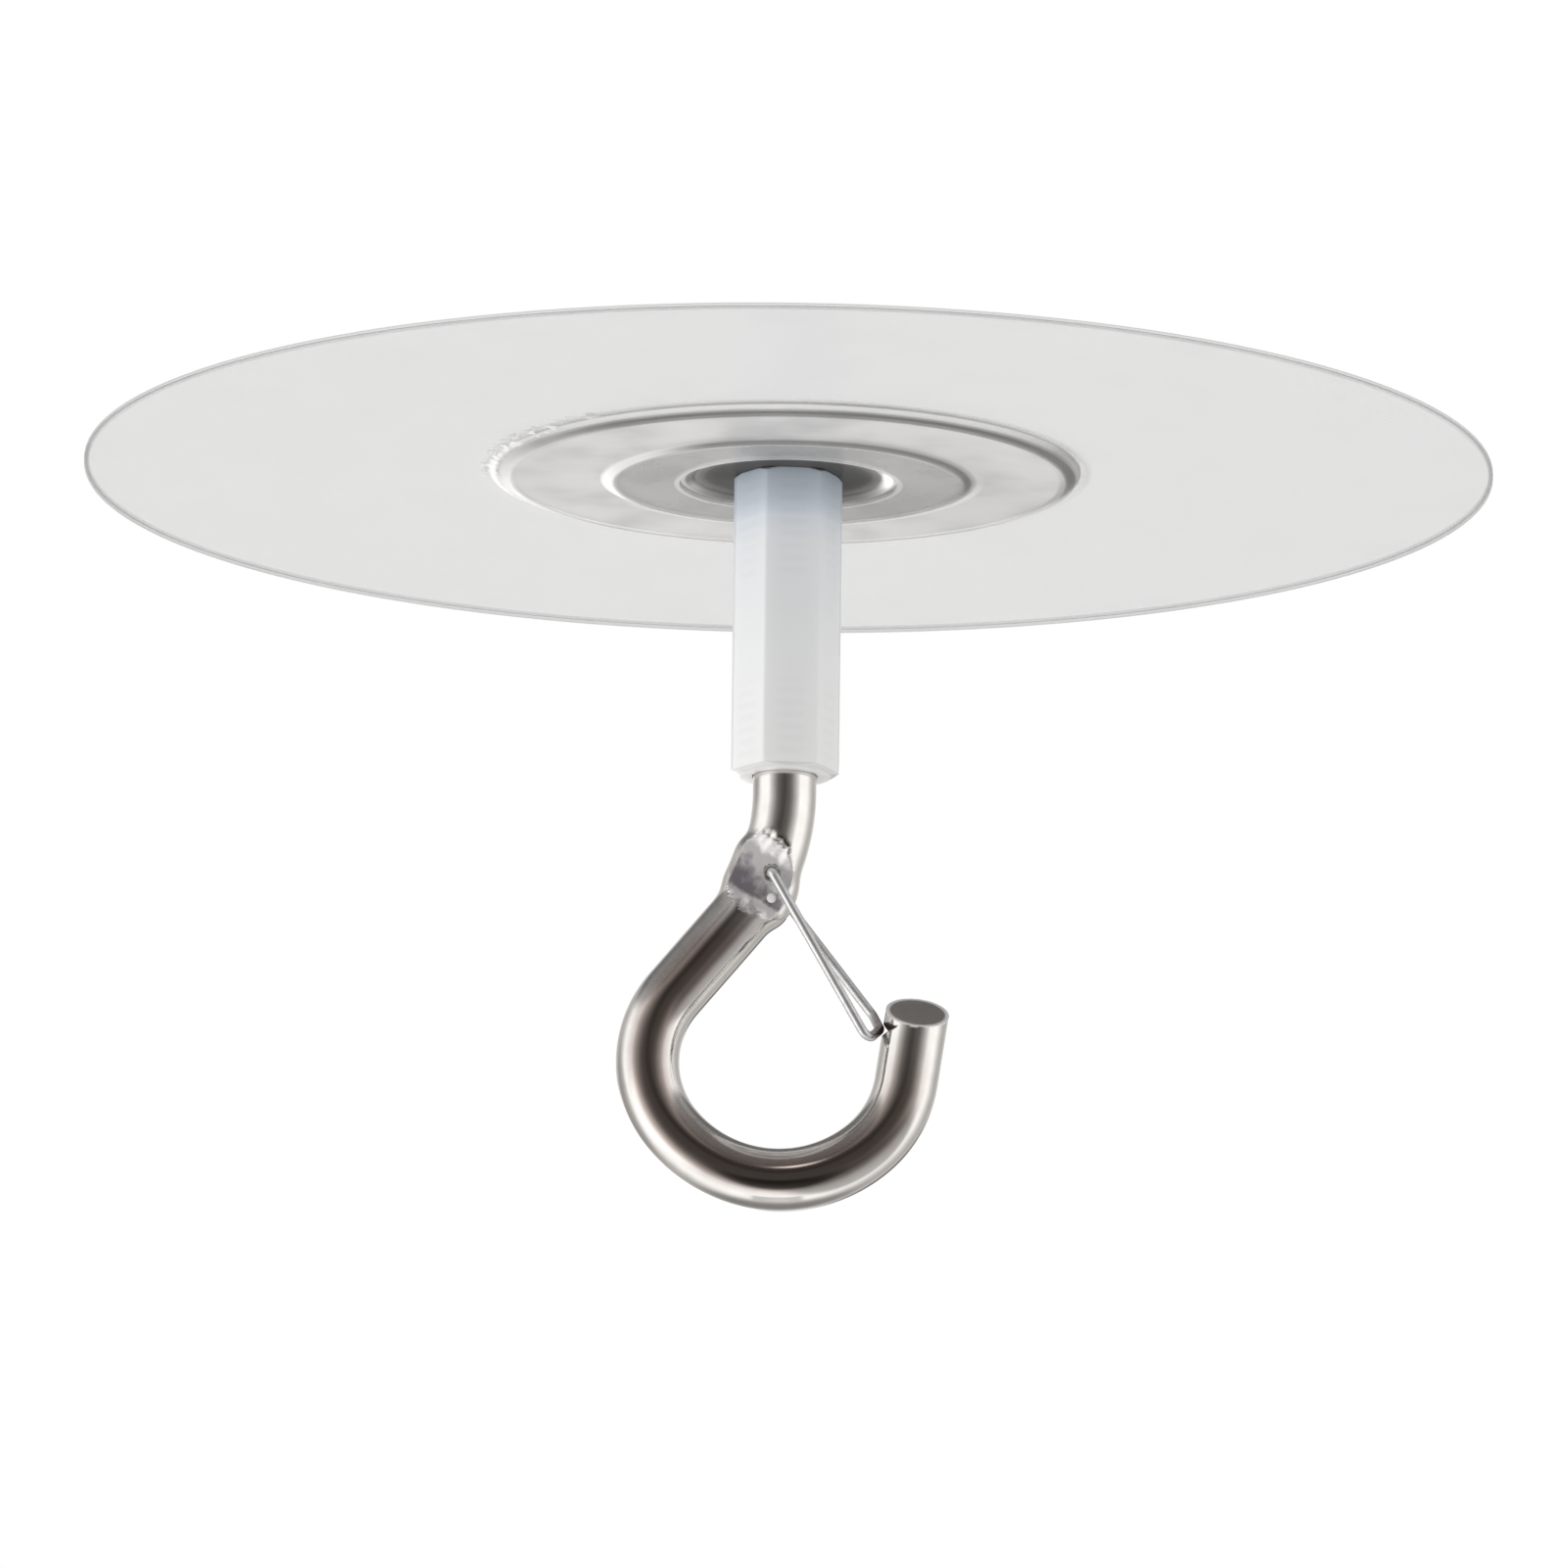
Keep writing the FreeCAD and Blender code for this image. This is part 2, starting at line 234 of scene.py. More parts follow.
# %% White behind the part
soft_light = sky.nodes.new("ShaderNodeBackground")
white_backdrop = sky.nodes.new("ShaderNodeBackground")
white_backdrop.inputs["Color"].default_value = (1, 1, 1, 1)
seen_by = sky.nodes.new("ShaderNodeLightPath")
choose = sky.nodes.new("ShaderNodeMixShader")
out = sky.nodes.new("ShaderNodeOutputWorld")
joined(sky,
       room, soft_light.inputs["Color"],
       strength, soft_light.inputs["Strength"],
       seen_by.outputs["Is Camera Ray"], choose.inputs["Fac"],
       soft_light.outputs["Background"], choose.inputs[1],
       white_backdrop.outputs["Background"], choose.inputs[2],
       choose.outputs["Shader"], out.inputs["Surface"])
print("world nodes:", len(sky.nodes))

# %% [markdown]
# ## Lamps
#
# The nylon, the film and the glue don't mirror the studio, so they need light that falls on them. Two
# large soft boxes, left and right of the camera, give it without a hard shadow. They are hidden from
# reflections, because the cards already do that work. The third lamp only lights the floor.

# %% Lamps
FLOOR_Z = -1600


def soft_lamp(name, place, size, power, target=AIM):
    """Square soft box that looks at the middle of the part, or at a place of its own."""
    data = bpy.data.lights.new(name, "AREA")
    data.size = size
    data.energy = power
    lamp = bpy.data.objects.new(name, data)
    lamp.location = place
    lamp.rotation_mode = "QUATERNION"
    lamp.rotation_quaternion = (Vector(target) - Vector(place)).to_track_quat("-Z", "Y")
    lamp.visible_glossy = False
    scene.collection.objects.link(lamp)


soft_lamp("key", (-0.55, -0.45, -0.15), 0.35, 0.95)
soft_lamp("fill", (0.6, -0.45, -0.2), 0.4, 0.95)
soft_lamp("floor_wash", (0, 0, -1.1), 0.4, 1.6, (0, 0, FLOOR_Z * MM))

# %% [markdown]
# The floor is far below, as it is under a ceiling. The photograph doesn't show it, and it is only
# there so that a view from above has something pale behind the part. It could be left to the world,
# but a real sheet with its own light keeps its tone wherever the camera goes. It is also the first
# mesh and the first material: one helper makes a mesh from points in millimetres, and one starts a
# material as a single shader with a few named values.


# %% Floor
def mesh_from(name, points, faces, edges=()):
    """Mesh from points in millimetres."""
    mesh = bpy.data.meshes.new(name)
    mesh.from_pydata([tuple(np.array(p) * MM) for p in points], list(edges), faces)
    return mesh


def finish(name, **values):
    """Material with one Principled shader, whose named inputs are set here."""
    material = bpy.data.materials.new(name)
    material.use_nodes = True
    shader = material.node_tree.nodes["Principled BSDF"]
    for key, value in values.items():
        shader.inputs[key.replace("_", " ")].default_value = value
    return material, material.node_tree, shader


FLOOR_HALF = 300
corners = [(x * FLOOR_HALF, y * FLOOR_HALF, FLOOR_Z) for x, y in ((-1, -1), (1, -1), (1, 1), (-1, 1))]
floor_mesh = mesh_from("floor", corners, [(0, 1, 2, 3)])
floor_paint, _, _ = finish("pale_floor", Base_Color=(0.86, 0.86, 0.86, 1), Roughness=0.9)
floor_mesh.materials.append(floor_paint)
floor = bpy.data.objects.new("floor", floor_mesh)
scene.collection.objects.link(floor)
print("floor at, mm:", FLOOR_Z)

# %% [markdown]
# ## Plate
#
# The plate is stamped from thin stainless sheet. Its steel is bright, with faint clouds from the
# rolling, and painted shade and highlight lie in rings at its bends. A picture could be wrapped on it,
# but that leaves a seam. So the tone is drawn from where a point lies on the piece: noise for what is
# cloudy, and the distance from the axis for the painted shade and highlight, which follow the bends.


# %% Rolled steel
def place_on(tree):
    """Where a point of the piece is, as a socket."""
    return tree.nodes.new("ShaderNodeTexCoord").outputs["Object"]


def grain(tree, size_mm, detail=3.0):
    """Noise fixed to the piece, with lumps about that many millimetres across."""
    noise = tree.nodes.new("ShaderNodeTexNoise")
    noise.inputs["Scale"].default_value = 1.0 / (size_mm * MM)
    noise.inputs["Detail"].default_value = detail
    joined(tree, place_on(tree), noise.inputs["Vector"])
    return noise.outputs["Fac"]


def bump(tree, shader, height, strength, depth_mm):
    """Bump from a height socket into the shader's normal."""
    node = tree.nodes.new("ShaderNodeBump")
    node.inputs["Strength"].default_value = strength
    node.inputs["Distance"].default_value = depth_mm * MM
    joined(tree, height, node.inputs["Height"], node.outputs["Normal"], shader.inputs["Normal"])


PLATE_RADIUS = 16.6
pressed_steel, steel_tree, steel = finish("pressed_steel", Roughness=0.22, Specular_IOR_Level=0.0)
rolled = grain(steel_tree, 4.5)
rolled_tone = toned(steel_tree, rolled, [(0.35, (0.72, 0.71, 0.70)), (0.65, (0.96, 0.95, 0.94))])
bump(steel_tree, steel, rolled, 0.12, 0.03)
print("rolled steel nodes:", len(steel_tree.nodes))

# %% [markdown]
# In the photograph the dish in the middle is nearly black, since it mirrors a dark side of the room.
# A studio can't do that for every view, so there the steel loses its shine by radius and is drawn
# dark, as a painted reflection.


# %% Painted shade and highlight at the bends
def out_from_axis(tree):
    """Distance from the Z axis, as a socket."""
    return vector_node(tree, "LENGTH", vector_node(tree, "MULTIPLY", place_on(tree), (1, 1, 0)))


def between(tree, distance_socket, low_mm, high_mm, kind="SMOOTHSTEP"):
    """Rises from 0 to 1 while a distance goes from one size to another."""
    return rises(tree, distance_socket, low_mm * MM, high_mm * MM, kind)


def by_radius(tree, reach_mm, stops):
    """Colour that follows the distance from the Z axis, with stops given in millimetres."""
    share = between(tree, out_from_axis(tree), 0.0, reach_mm, "LINEAR")
    return toned(tree, share, [(radius / reach_mm, tone) for radius, tone in stops])


def mixed(tree, first, second, share, kind="MIX"):
    """Colour that goes from one to another, or is multiplied by it, as a share goes from 0 to 1."""
    node = tree.nodes.new("ShaderNodeMix")
    node.data_type = "RGBA"
    node.blend_type = kind
    feed(tree, [node.inputs["A"], node.inputs["B"], node.inputs["Factor"]], [first, second, share])
    return node.outputs["Result"]


# Painted shade at the steps and the edge, a brighter flange, and a painted dark reflection in the dish.
painted_ring_shading = by_radius(steel_tree, PLATE_RADIUS, [
    (0, 0.10), (4.2, 0.13), (5.3, 0.20), (5.6, 0.70), (9.5, 0.75), (9.8, 0.40), (10.4, 0.34), (10.6, 1.0),
    (10.9, 1.0), (15.6, 1.0), (15.9, 0.5), (16.4, 0.4), (16.55, 0.3)])
shiny = by_radius(steel_tree, PLATE_RADIUS, [(0, 0.08), (4.6, 0.14), (5.6, 1.0)])
joined(steel_tree,
       mixed(steel_tree, rolled_tone, painted_ring_shading, 1.0, "MULTIPLY"), steel.inputs["Base Color"],
       shiny, steel.inputs["Metallic"])
print("pressed steel nodes:", len(steel_tree.nodes))

# %% [markdown]
# The sheet has a flange, a raised platform and a dish in the middle, with small rounded bends. It
# could be modelled as faces and bevelled, but it is the same all the way round. So one half section is
# drawn as a line with rounded bends, given a thickness, and turned about the axis. A grid of rings
# keeps the bends smooth and the sheet closed.

# %% Line with rounded bends
ARC_STEP = math.radians(7)


def corner_of(before, corner, after):
    """Directions into and out of a corner, and the angle of the turn between them."""
    arriving = (corner - before) / np.linalg.norm(corner - before)
    departing = (after - corner) / np.linalg.norm(after - corner)
    return arriving, departing, math.acos(np.clip(arriving @ departing, -1, 1))


def rounded(points, radii):
    """Points along straight runs that are joined by arcs of the given radii."""
    line = [np.array(points[0], float)]
    corners = [np.array(p, float) for p in points]
    for before, corner, after, radius in zip(corners, corners[1:], corners[2:], radii):
        arriving, departing, turn = corner_of(before, corner, after)
        if turn < 1e-6:
            continue
        start = corner - arriving * radius * math.tan(turn / 2)
        side = departing - arriving * (arriving @ departing)
        side = side / np.linalg.norm(side)
        count = max(3, int(math.ceil(turn / ARC_STEP)))
        for k in range(count + 1):
            a = turn * k / count
            line.append(start + arriving * (radius * math.sin(a)) + side * (radius * (1 - math.cos(a))))
    line.append(corners[-1])
    return line


print("points in a square bend:", len(rounded([(0, 0), (1, 0), (1, 1)], [0.3])))

# %% [markdown]
# A sheet is as thick at its bends as elsewhere. So its front is the same line, moved out at each
# corner along the middle of the angle, and the outside of a bend has the radius of the inside plus
# the thickness. The plate's edge is rolled thin by the stamp, so it gets a line of its own.


# %% Half section of the plate
def sheet_section(points, bend, thickness, edge=(), edge_radii=()):
    """Closed half section of a sheet below its ceiling side, with an edge of its own if given."""
    corners = [np.array(p, float) for p in points]
    back_radii, front_radii, front = [], [], [corners[0] - (0, thickness)]
    for before, corner, after in zip(corners, corners[1:], corners[2:]):
        arriving, departing, turn = corner_of(before, corner, after)
        below = np.array((arriving[1] + departing[1], -arriving[0] - departing[0]))
        below = below / np.linalg.norm(below)
        front.append(corner + below * thickness / math.cos(turn / 2))
        hollow_in_front = (departing - arriving)[1] < 0
        back_radii.append(bend + thickness if hollow_in_front else bend)
        front_radii.append(bend if hollow_in_front else bend + thickness)
    front += [np.array(p, float) for p in edge] or [corners[-1] - (0, thickness)]
    return rounded(corners, back_radii) + rounded(front, front_radii + list(edge_radii))[::-1]


ADHESIVE = 0.15
PLATE_BACK = -ADHESIVE - 0.01
PLATE_THICKNESS, PLATFORM_RISE, SHEET_BEND = 0.48, 0.25, 0.3
raised = PLATE_BACK - PLATFORM_RISE
plate_line = [(0.02, PLATE_BACK), (5.4, PLATE_BACK), (6.0, raised), (9.9, raised),
              (10.55, PLATE_BACK), (PLATE_RADIUS, PLATE_BACK)]
plate_face = PLATE_BACK - PLATE_THICKNESS
plate_edge = [(15.7, plate_face), (16.3, plate_face + 0.24), (PLATE_RADIUS, plate_face + 0.42)]
plate_section = sheet_section(plate_line, SHEET_BEND, PLATE_THICKNESS, plate_edge, [0.8, 0.3])
print("points in the section:", len(plate_section), "plate face at, mm:", round(plate_face, 3))

# %% [markdown]
# A finished piece here is a plain mesh whose points already lie in place, so its object stays at the
# origin, unturned and unscaled. Its faces are turned outward, and its edges are sharp only where two
# faces meet at more than an angle.


# %% Plate
def grid_faces(columns, rows):
    """Four-sided faces of a grid that is closed both ways, with its points column by column."""
    faces = []
    for k in range(columns):
        a, b = k * rows, (k + 1) % columns * rows
        for row in range(rows):
            below = (row + 1) % rows
            faces.append((a + row, b + row, b + below, a + below))
    return faces


def turned(section, sides=256):
    """Points and faces of a half section turned about the Z axis."""
    points = []
    for side in range(sides):
        a = 2 * math.pi * side / sides
        points += [(r * math.cos(a), r * math.sin(a), z) for r, z in section]
    return points, grid_faces(sides, len(section))


def outward(mesh):
    """Turns all faces of a closed mesh to look outward."""
    work = bmesh.new()
    work.from_mesh(mesh)
    bmesh.ops.recalc_face_normals(work, faces=work.faces)
    work.to_mesh(mesh)
    work.free()


def dressed(name, mesh, material, sharp_degrees=40):
    """Links a mesh as a piece, smooth except where faces meet at more than an angle."""
    outward(mesh)
    mesh.materials.clear()
    mesh.materials.append(material)
    mesh.polygons.foreach_set("use_smooth", [True] * len(mesh.polygons))
    mesh.set_sharp_from_angle(angle=math.radians(sharp_degrees))
    piece = bpy.data.objects.new(name, mesh)
    scene.collection.objects.link(piece)
    print(name, "faces:", len(mesh.polygons))
    return piece


plate = dressed("plate_steel", mesh_from("plate_steel", *turned(plate_section)), pressed_steel)
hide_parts("base_plate")
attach(plate, "base")

# %% [markdown]
# ## Film
#
# A clear film covers the plate and sticks to the adhesive all round it, with a tent where it steps
# down past the plate's edge. True glass would need the bright room behind it to look right, and here
# only white stands behind. So the film is a soft sheet whose colour and cover follow the radius: thin
# and grey over the bare adhesive and denser over the steel, with painted glare brightest over the
# flange, a painted highlight at the hole's edge, and painted shade at the tent's foot and the cut edge.

# %% Film tone
DISC_RADIUS = 40.0
clear_film, film_tree, film = finish("clear_film", Roughness=0.25, IOR=1.45)
# Painted glare and highlight over the steel, painted shade at the tent's foot and the cut edge.
film_tone_and_glare = by_radius(film_tree, DISC_RADIUS, [
    (6.2, 0.95), (6.4, 0.95), (6.5, 0.68), (9.9, 0.70), (10.6, 1.0), (15.7, 1.0), (16.9, 0.8),
    (17.05, 0.40), (17.3, 0.42), (39.7, 0.42), (39.85, 0.26)])
film_cover = by_radius(film_tree, DISC_RADIUS, [
    (6.2, 0.60), (6.4, 0.60), (6.5, 0.45), (10.0, 0.45), (10.6, 0.62), (15.8, 0.62), (16.5, 0.4),
    (16.95, 0.28), (17.3, 0.16), (39.7, 0.16), (39.85, 0.36)])
clouds = grain(film_tree, 5.0, 2.0)
milky = toned(film_tree, clouds, [(0.35, 0.80), (0.5, 0.95), (0.6, 1.0)])
film_tone_and_glare = mixed(film_tree, film_tone_and_glare, milky, 1.0, "MULTIPLY")
print("film reaches, mm:", DISC_RADIUS)

# %% [markdown]
# Each step of the plate lifts the film, and the lifted film catches a light on one side of the disc
# and a shade on the other. They are arcs of rings: a ring by radius, times how near a point's bearing
# is to the side where the arc is strongest. Bearings count from +X, and -90 is towards the camera.


# %% Arcs
def facing(tree, degrees, low, high):
    """Rises from 0 to 1 as the bearing of a point about the Z axis nears the one given."""
    unit = vector_node(tree, "NORMALIZE", vector_node(tree, "MULTIPLY", place_on(tree), (1, 1, 0)))
    bearing = (math.cos(math.radians(degrees)), math.sin(math.radians(degrees)), 0)
    return rises(tree, vector_node(tree, "DOT_PRODUCT", unit, bearing), low, high)


def arcs(rows):
    """Strongest of several arcs on the film, each a bearing, low, high and stops by radius."""
    masks = [math_node(film_tree, "MULTIPLY", by_radius(film_tree, DISC_RADIUS, stops),
                       facing(film_tree, degrees, low, high)) for degrees, low, high, stops in rows]
    return math_node(film_tree, "MAXIMUM", *masks)


shadows = arcs([
    (-60, -0.5, 0.55, [(9.85, 0), (10.0, 1), (10.3, 1), (10.5, 0),
                       (15.6, 0), (15.75, 1), (16.25, 1), (16.4, 0)]),
    (80, -0.3, 0.5, [(15.4, 0), (15.5, 0.7), (15.72, 0.7), (15.8, 0)]),
])
lights = arcs([
    (190, 0.55, 0.93, [(9.8, 0), (9.95, 1), (10.5, 1), (10.6, 0), (15.65, 0), (15.75, 0.5), (15.9, 0),
                       (16.6, 0), (16.7, 0.8), (16.9, 0.8), (17.0, 0)]),
    (-90, 0.1, 0.8, [(9.6, 0), (9.7, 0.4), (9.8, 0), (16.4, 0), (16.55, 0.9), (16.95, 0.9), (17.05, 0)]),
    (75, 0.1, 0.7, [(10.55, 0), (10.7, 1), (11.0, 1), (11.15, 0)]),
])
print("film nodes so far:", len(film_tree.nodes))

# %% [markdown]
# Where the film tents down, air stays trapped under it as small bubbles. On the left they catch the
# light, and there they show as white specks of painted highlight. Modelled one by one they would cost
# thousands of faces for what is seen as specks. Noise that is cut off at a level gives specks of many
# shapes, and a narrow zone by radius keeps them in the tent.


# %% Bubbles and their painted highlights
def moved(tree, value, to, by):
    """A grey value that goes to another one where a mask is 1."""
    node = tree.nodes.new("ShaderNodeMix")
    feed(tree, [node.inputs["A"], node.inputs["B"], node.inputs["Factor"]], [value, to, by])
    return node.outputs["Result"]


bubbles = grain(film_tree, 0.7, 1.0)
bubble_zone = math_node(film_tree, "MULTIPLY",
                        between(film_tree, out_from_axis(film_tree), 16.4, 16.7),
                        between(film_tree, out_from_axis(film_tree), 17.7, 17.2))
# Painted highlights on the bubbles, on the left side only.
bubble_highlights = math_node(film_tree, "MULTIPLY", rises(film_tree, bubbles, 0.52, 0.60), bubble_zone,
                  facing(film_tree, 205, 0.84, 0.95))
bright = math_node(film_tree, "MAXIMUM", lights, bubble_highlights)
joined(film_tree,
       moved(film_tree, moved(film_tree, film_tone_and_glare, 0.28, shadows), 1.0, bright), film.inputs["Base Color"],
       moved(film_tree, moved(film_tree, film_cover, 0.62, shadows), 0.85, bright), film.inputs["Alpha"])
bump(film_tree, film, math_node(film_tree, "MULTIPLY", bubbles, bubble_zone), 0.5, 0.15)
print("film nodes:", len(film_tree.nodes))

# %% [markdown]
# The film's shape is the same kind of section as the plate's. It follows the plate's front with a
# hair of room, leaves a hole for the coupler, and ends on the adhesive.

# %% Film
FILM_GAP = 0.015
FILM_THICKNESS = 0.17
film_face = plate_face - FILM_GAP
film_foot = -ADHESIVE - FILM_GAP
film_line = [(6.2, film_face - PLATFORM_RISE), (9.99, film_face - PLATFORM_RISE), (10.64, film_face),
             (15.8, film_face), (17.05, film_foot), (DISC_RADIUS, film_foot)]
film_section = sheet_section(film_line, SHEET_BEND, FILM_THICKNESS)
cover = dressed("film_cover", mesh_from("film_cover", *turned(film_section)), clear_film)
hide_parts("cover_film")
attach(cover, "base")
print("film face at, mm:", round(film_face - PLATFORM_RISE - FILM_THICKNESS, 3))

# %% [markdown]
# ## Adhesive
#
# The adhesive is a plain clear disc, and its solid is already that, so the solid keeps its own mesh
# and only gets a material. It is nearly unseen, with a darker line of painted shade at the cut edge,
# as any clear sheet shows.

# %% Adhesive
clear_adhesive, adhesive_tree, adhesive = finish("clear_adhesive", Roughness=0.35, IOR=1.45)
# Painted shade: the darker line at the cut edge.
adhesive_tone_and_edge_shade = by_radius(adhesive_tree, DISC_RADIUS, [(0, 0.42), (39.7, 0.42), (39.85, 0.26)])
adhesive_cover = by_radius(adhesive_tree, DISC_RADIUS, [(0, 0.08), (39.7, 0.08), (39.85, 0.3)])
joined(adhesive_tree,
       adhesive_tone_and_edge_shade, adhesive.inputs["Base Color"],
       adhesive_cover, adhesive.inputs["Alpha"])
adhesive_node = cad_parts["adhesive_layer"]
adhesive_node.material_slots[0].material = clear_adhesive
print("adhesive material:", adhesive_node.material_slots[0].material.name)

# %% [markdown]
# ## Threads
#
# The stud and the hook's shank carry the same rolled thread. A screw modifier could sweep it, but the
# run-out at the ends would be work by hand. It repeats along a rod, so Geometry Nodes make it: a
# cylinder with many rings, whose points are moved in with a saw of the height and the angle round the
# axis. The tree has named inputs, so both threads share it.


# %% Named inputs
def tree_with(name, **inputs):
    """Geometry node tree with a geometry input, named number inputs and a geometry output."""
    tree = bpy.data.node_groups.new(name, "GeometryNodeTree")
    tree.interface.new_socket("Geometry", in_out="INPUT", socket_type="NodeSocketGeometry")
    for key, value in inputs.items():
        kind = "NodeSocketInt" if isinstance(value, int) else "NodeSocketFloat"
        socket = tree.interface.new_socket(key.replace("_", " "), in_out="INPUT", socket_type=kind)
        socket.default_value = value
    tree.interface.new_socket("Geometry", in_out="OUTPUT", socket_type="NodeSocketGeometry")
    return tree, tree.nodes.new("NodeGroupInput"), tree.nodes.new("NodeGroupOutput")


THREAD_RADIUS, THREAD_PITCH, THREAD_DEPTH, THREAD_LEAD = 1.8, 0.7, 0.3, 0.35
threading, given, result = tree_with(
    "thread", Radius=THREAD_RADIUS * MM, Length=6.0 * MM, Pitch=THREAD_PITCH * MM,
    Depth=THREAD_DEPTH * MM, Rings=140)
print("inputs of the tree:", [s.name for s in given.outputs if s.name])

# %% [markdown]
# The height divided by the pitch, less the turns round the axis, tells where a point is on the
# thread. A ping-pong of that is the saw of crests and grooves. Near both ends the points are drawn in
# by a cone instead, which is the lead that lets a nut start.

# %% Saw of crests and grooves
THREAD_SIDES = 48
blank = threading.nodes.new("GeometryNodeMeshCylinder")
blank.inputs["Vertices"].default_value = THREAD_SIDES
where = threading.nodes.new("GeometryNodeInputPosition")
split = threading.nodes.new("ShaderNodeSeparateXYZ")
joined(threading, given.outputs["Radius"], blank.inputs["Radius"],
       given.outputs["Length"], blank.inputs["Depth"],
       given.outputs["Rings"], blank.inputs["Side Segments"],
       where.outputs[0], split.inputs[0])
x, y, z = split.outputs

turns = math_node(threading, "DIVIDE", math_node(threading, "ARCTAN2", y, x), 2 * math.pi)
climb = math_node(threading, "SUBTRACT", math_node(threading, "DIVIDE", z, given.outputs["Pitch"]), turns)
saw = math_node(threading, "PINGPONG", climb, 0.5)
groove = math_node(threading, "MULTIPLY", saw, given.outputs["Depth"], 2.0)
half_length = math_node(threading, "MULTIPLY", given.outputs["Length"], 0.5)
end_gap = math_node(threading, "SUBTRACT", half_length, math_node(threading, "ABSOLUTE", z))
lead = math_node(threading, "SUBTRACT", THREAD_LEAD * MM, end_gap)
sunk = math_node(threading, "MAXIMUM", groove, lead, 0.0)
shrink = math_node(threading, "SUBTRACT", 1.0, math_node(threading, "DIVIDE", sunk, given.outputs["Radius"]))
print("tree nodes so far:", len(threading.nodes))

# %% [markdown]
# The depth of the groove shrinks each point's distance from the axis, and its height stays. Every tree
# here ends the same way: smooth, with real geometry and a material. This steel is duller than the
# plate's, because a rolled thread is never polished.


# %% End of the tree
def close_tree(tree, shape, material, output):
    """Smooth, realised and with its material, as every tree here ends."""
    smooth = tree.nodes.new("GeometryNodeSetShadeSmooth")
    real = tree.nodes.new("GeometryNodeRealizeInstances")
    paint_on = tree.nodes.new("GeometryNodeSetMaterial")
    paint_on.inputs["Material"].default_value = material
    joined(tree, shape, smooth.inputs[0], smooth.outputs[0], real.inputs[0],
           real.outputs[0], paint_on.inputs["Geometry"], paint_on.outputs[0], output.inputs[0])


stud_steel, stud_tree, stud_shader = finish(
    "stud_steel", Base_Color=(0.55, 0.55, 0.54, 1), Metallic=1.0, Roughness=0.28)
bump(stud_tree, stud_shader, grain(stud_tree, 0.3), 0.2, 0.01)
scaled = threading.nodes.new("ShaderNodeCombineXYZ")
move = threading.nodes.new("GeometryNodeSetPosition")
joined(threading, math_node(threading, "MULTIPLY", x, shrink), scaled.inputs[0],
       math_node(threading, "MULTIPLY", y, shrink), scaled.inputs[1], z, scaled.inputs[2],
       blank.outputs["Mesh"], move.inputs["Geometry"], scaled.outputs[0], move.inputs["Position"])
close_tree(threading, move.outputs[0], stud_steel, result)
print("thread tree nodes:", len(threading.nodes))

# %% [markdown]
# ## Stud
#
# The stud is welded to the middle of the plate and hangs down into the coupler. Only its faint lines
# show through the nylon, but it is there in a view with the coupler taken off.


# %% Stud
def made_by(tree, points=(), **values):
    """Plain mesh that a tree makes from a line of points, with its named inputs set."""
    steps = [(k, k + 1) for k in range(len(points) - 1)]
    maker = bpy.data.objects.new("maker", mesh_from("line", points, [], steps))
    scene.collection.objects.link(maker)
    modifier = maker.modifiers.new("make", "NODES")
    modifier.node_group = tree
    for item in tree.interface.items_tree:
        key = item.name.replace(" ", "_")
        if item.in_out == "INPUT" and key in values:
            modifier[item.identifier] = values[key]
    graph = bpy.context.evaluated_depsgraph_get()
    mesh = bpy.data.meshes.new_from_object(maker.evaluated_get(graph))
    maker.modifiers.remove(modifier)
    bpy.data.objects.remove(maker)
    return mesh


STUD_TOP, STUD_LENGTH = -0.65, 6.5
stud_mesh = made_by(threading, Length=STUD_LENGTH * MM, Rings=150)
stud_mesh.transform(Matrix.Translation((0, 0, (STUD_TOP - STUD_LENGTH / 2) * MM)))
stud = dressed("stud_thread", stud_mesh, stud_steel, 60)
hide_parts("stud")
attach(stud, "base")
print("stud turns:", round(STUD_LENGTH / THREAD_PITCH, 1))

# %% [markdown]
# ## Coupler
#
# The coupler is a long hexagonal nut moulded in milky nylon. Light goes in and comes out softened, so
# the shader has a short subsurface reach. The tone follows the height: white below, and bluish grey
# close under the plate, where less light gets in. The screw lines of the stud and the shank show
# through the flats as faint bands, one for each pitch, and are drawn rather than lit through real
# depth.


# %% Nylon
def axes_of(tree):
    """X, Y and Z of a point of the piece, as three sockets."""
    node = tree.nodes.new("ShaderNodeSeparateXYZ")
    joined(tree, place_on(tree), node.inputs[0])
    return node.outputs


white_nylon, nylon_tree, nylon = finish(
    "white_nylon", Base_Color=(0.9, 0.92, 0.94, 1), Roughness=0.28, IOR=1.5,
    Subsurface_Weight=0.3, Subsurface_Scale=0.002, Subsurface_Radius=(1.0, 0.85, 0.8))
height = axes_of(nylon_tree)[2]
nylon_tone = toned(nylon_tree, between(nylon_tree, height, -17.9, -0.7), [
    (0.0, (0.98, 0.985, 0.99)),
    (0.55, (0.93, 0.945, 0.965)),
    (0.86, (0.93, 0.96, 1.0)),
    (0.93, (0.84, 0.90, 0.98)),
    (0.97, (0.66, 0.73, 0.81)),
    (1.0, (0.56, 0.63, 0.71)),
])
pitches_up = math_node(nylon_tree, "DIVIDE", height, THREAD_PITCH * MM)
pitch_wave = math_node(nylon_tree, "PINGPONG", pitches_up, 0.5)
threaded = math_node(nylon_tree, "ADD", between(nylon_tree, height, -7.4, -6.9),
                     between(nylon_tree, height, -12.7, -13.2))
on_flats = between(nylon_tree, out_from_axis(nylon_tree), 2.88, 2.74)
thread_lines = toned(nylon_tree, math_node(nylon_tree, "MULTIPLY", pitch_wave, threaded, on_flats),
                     [(0.0, 1.0), (0.5, 0.965)])
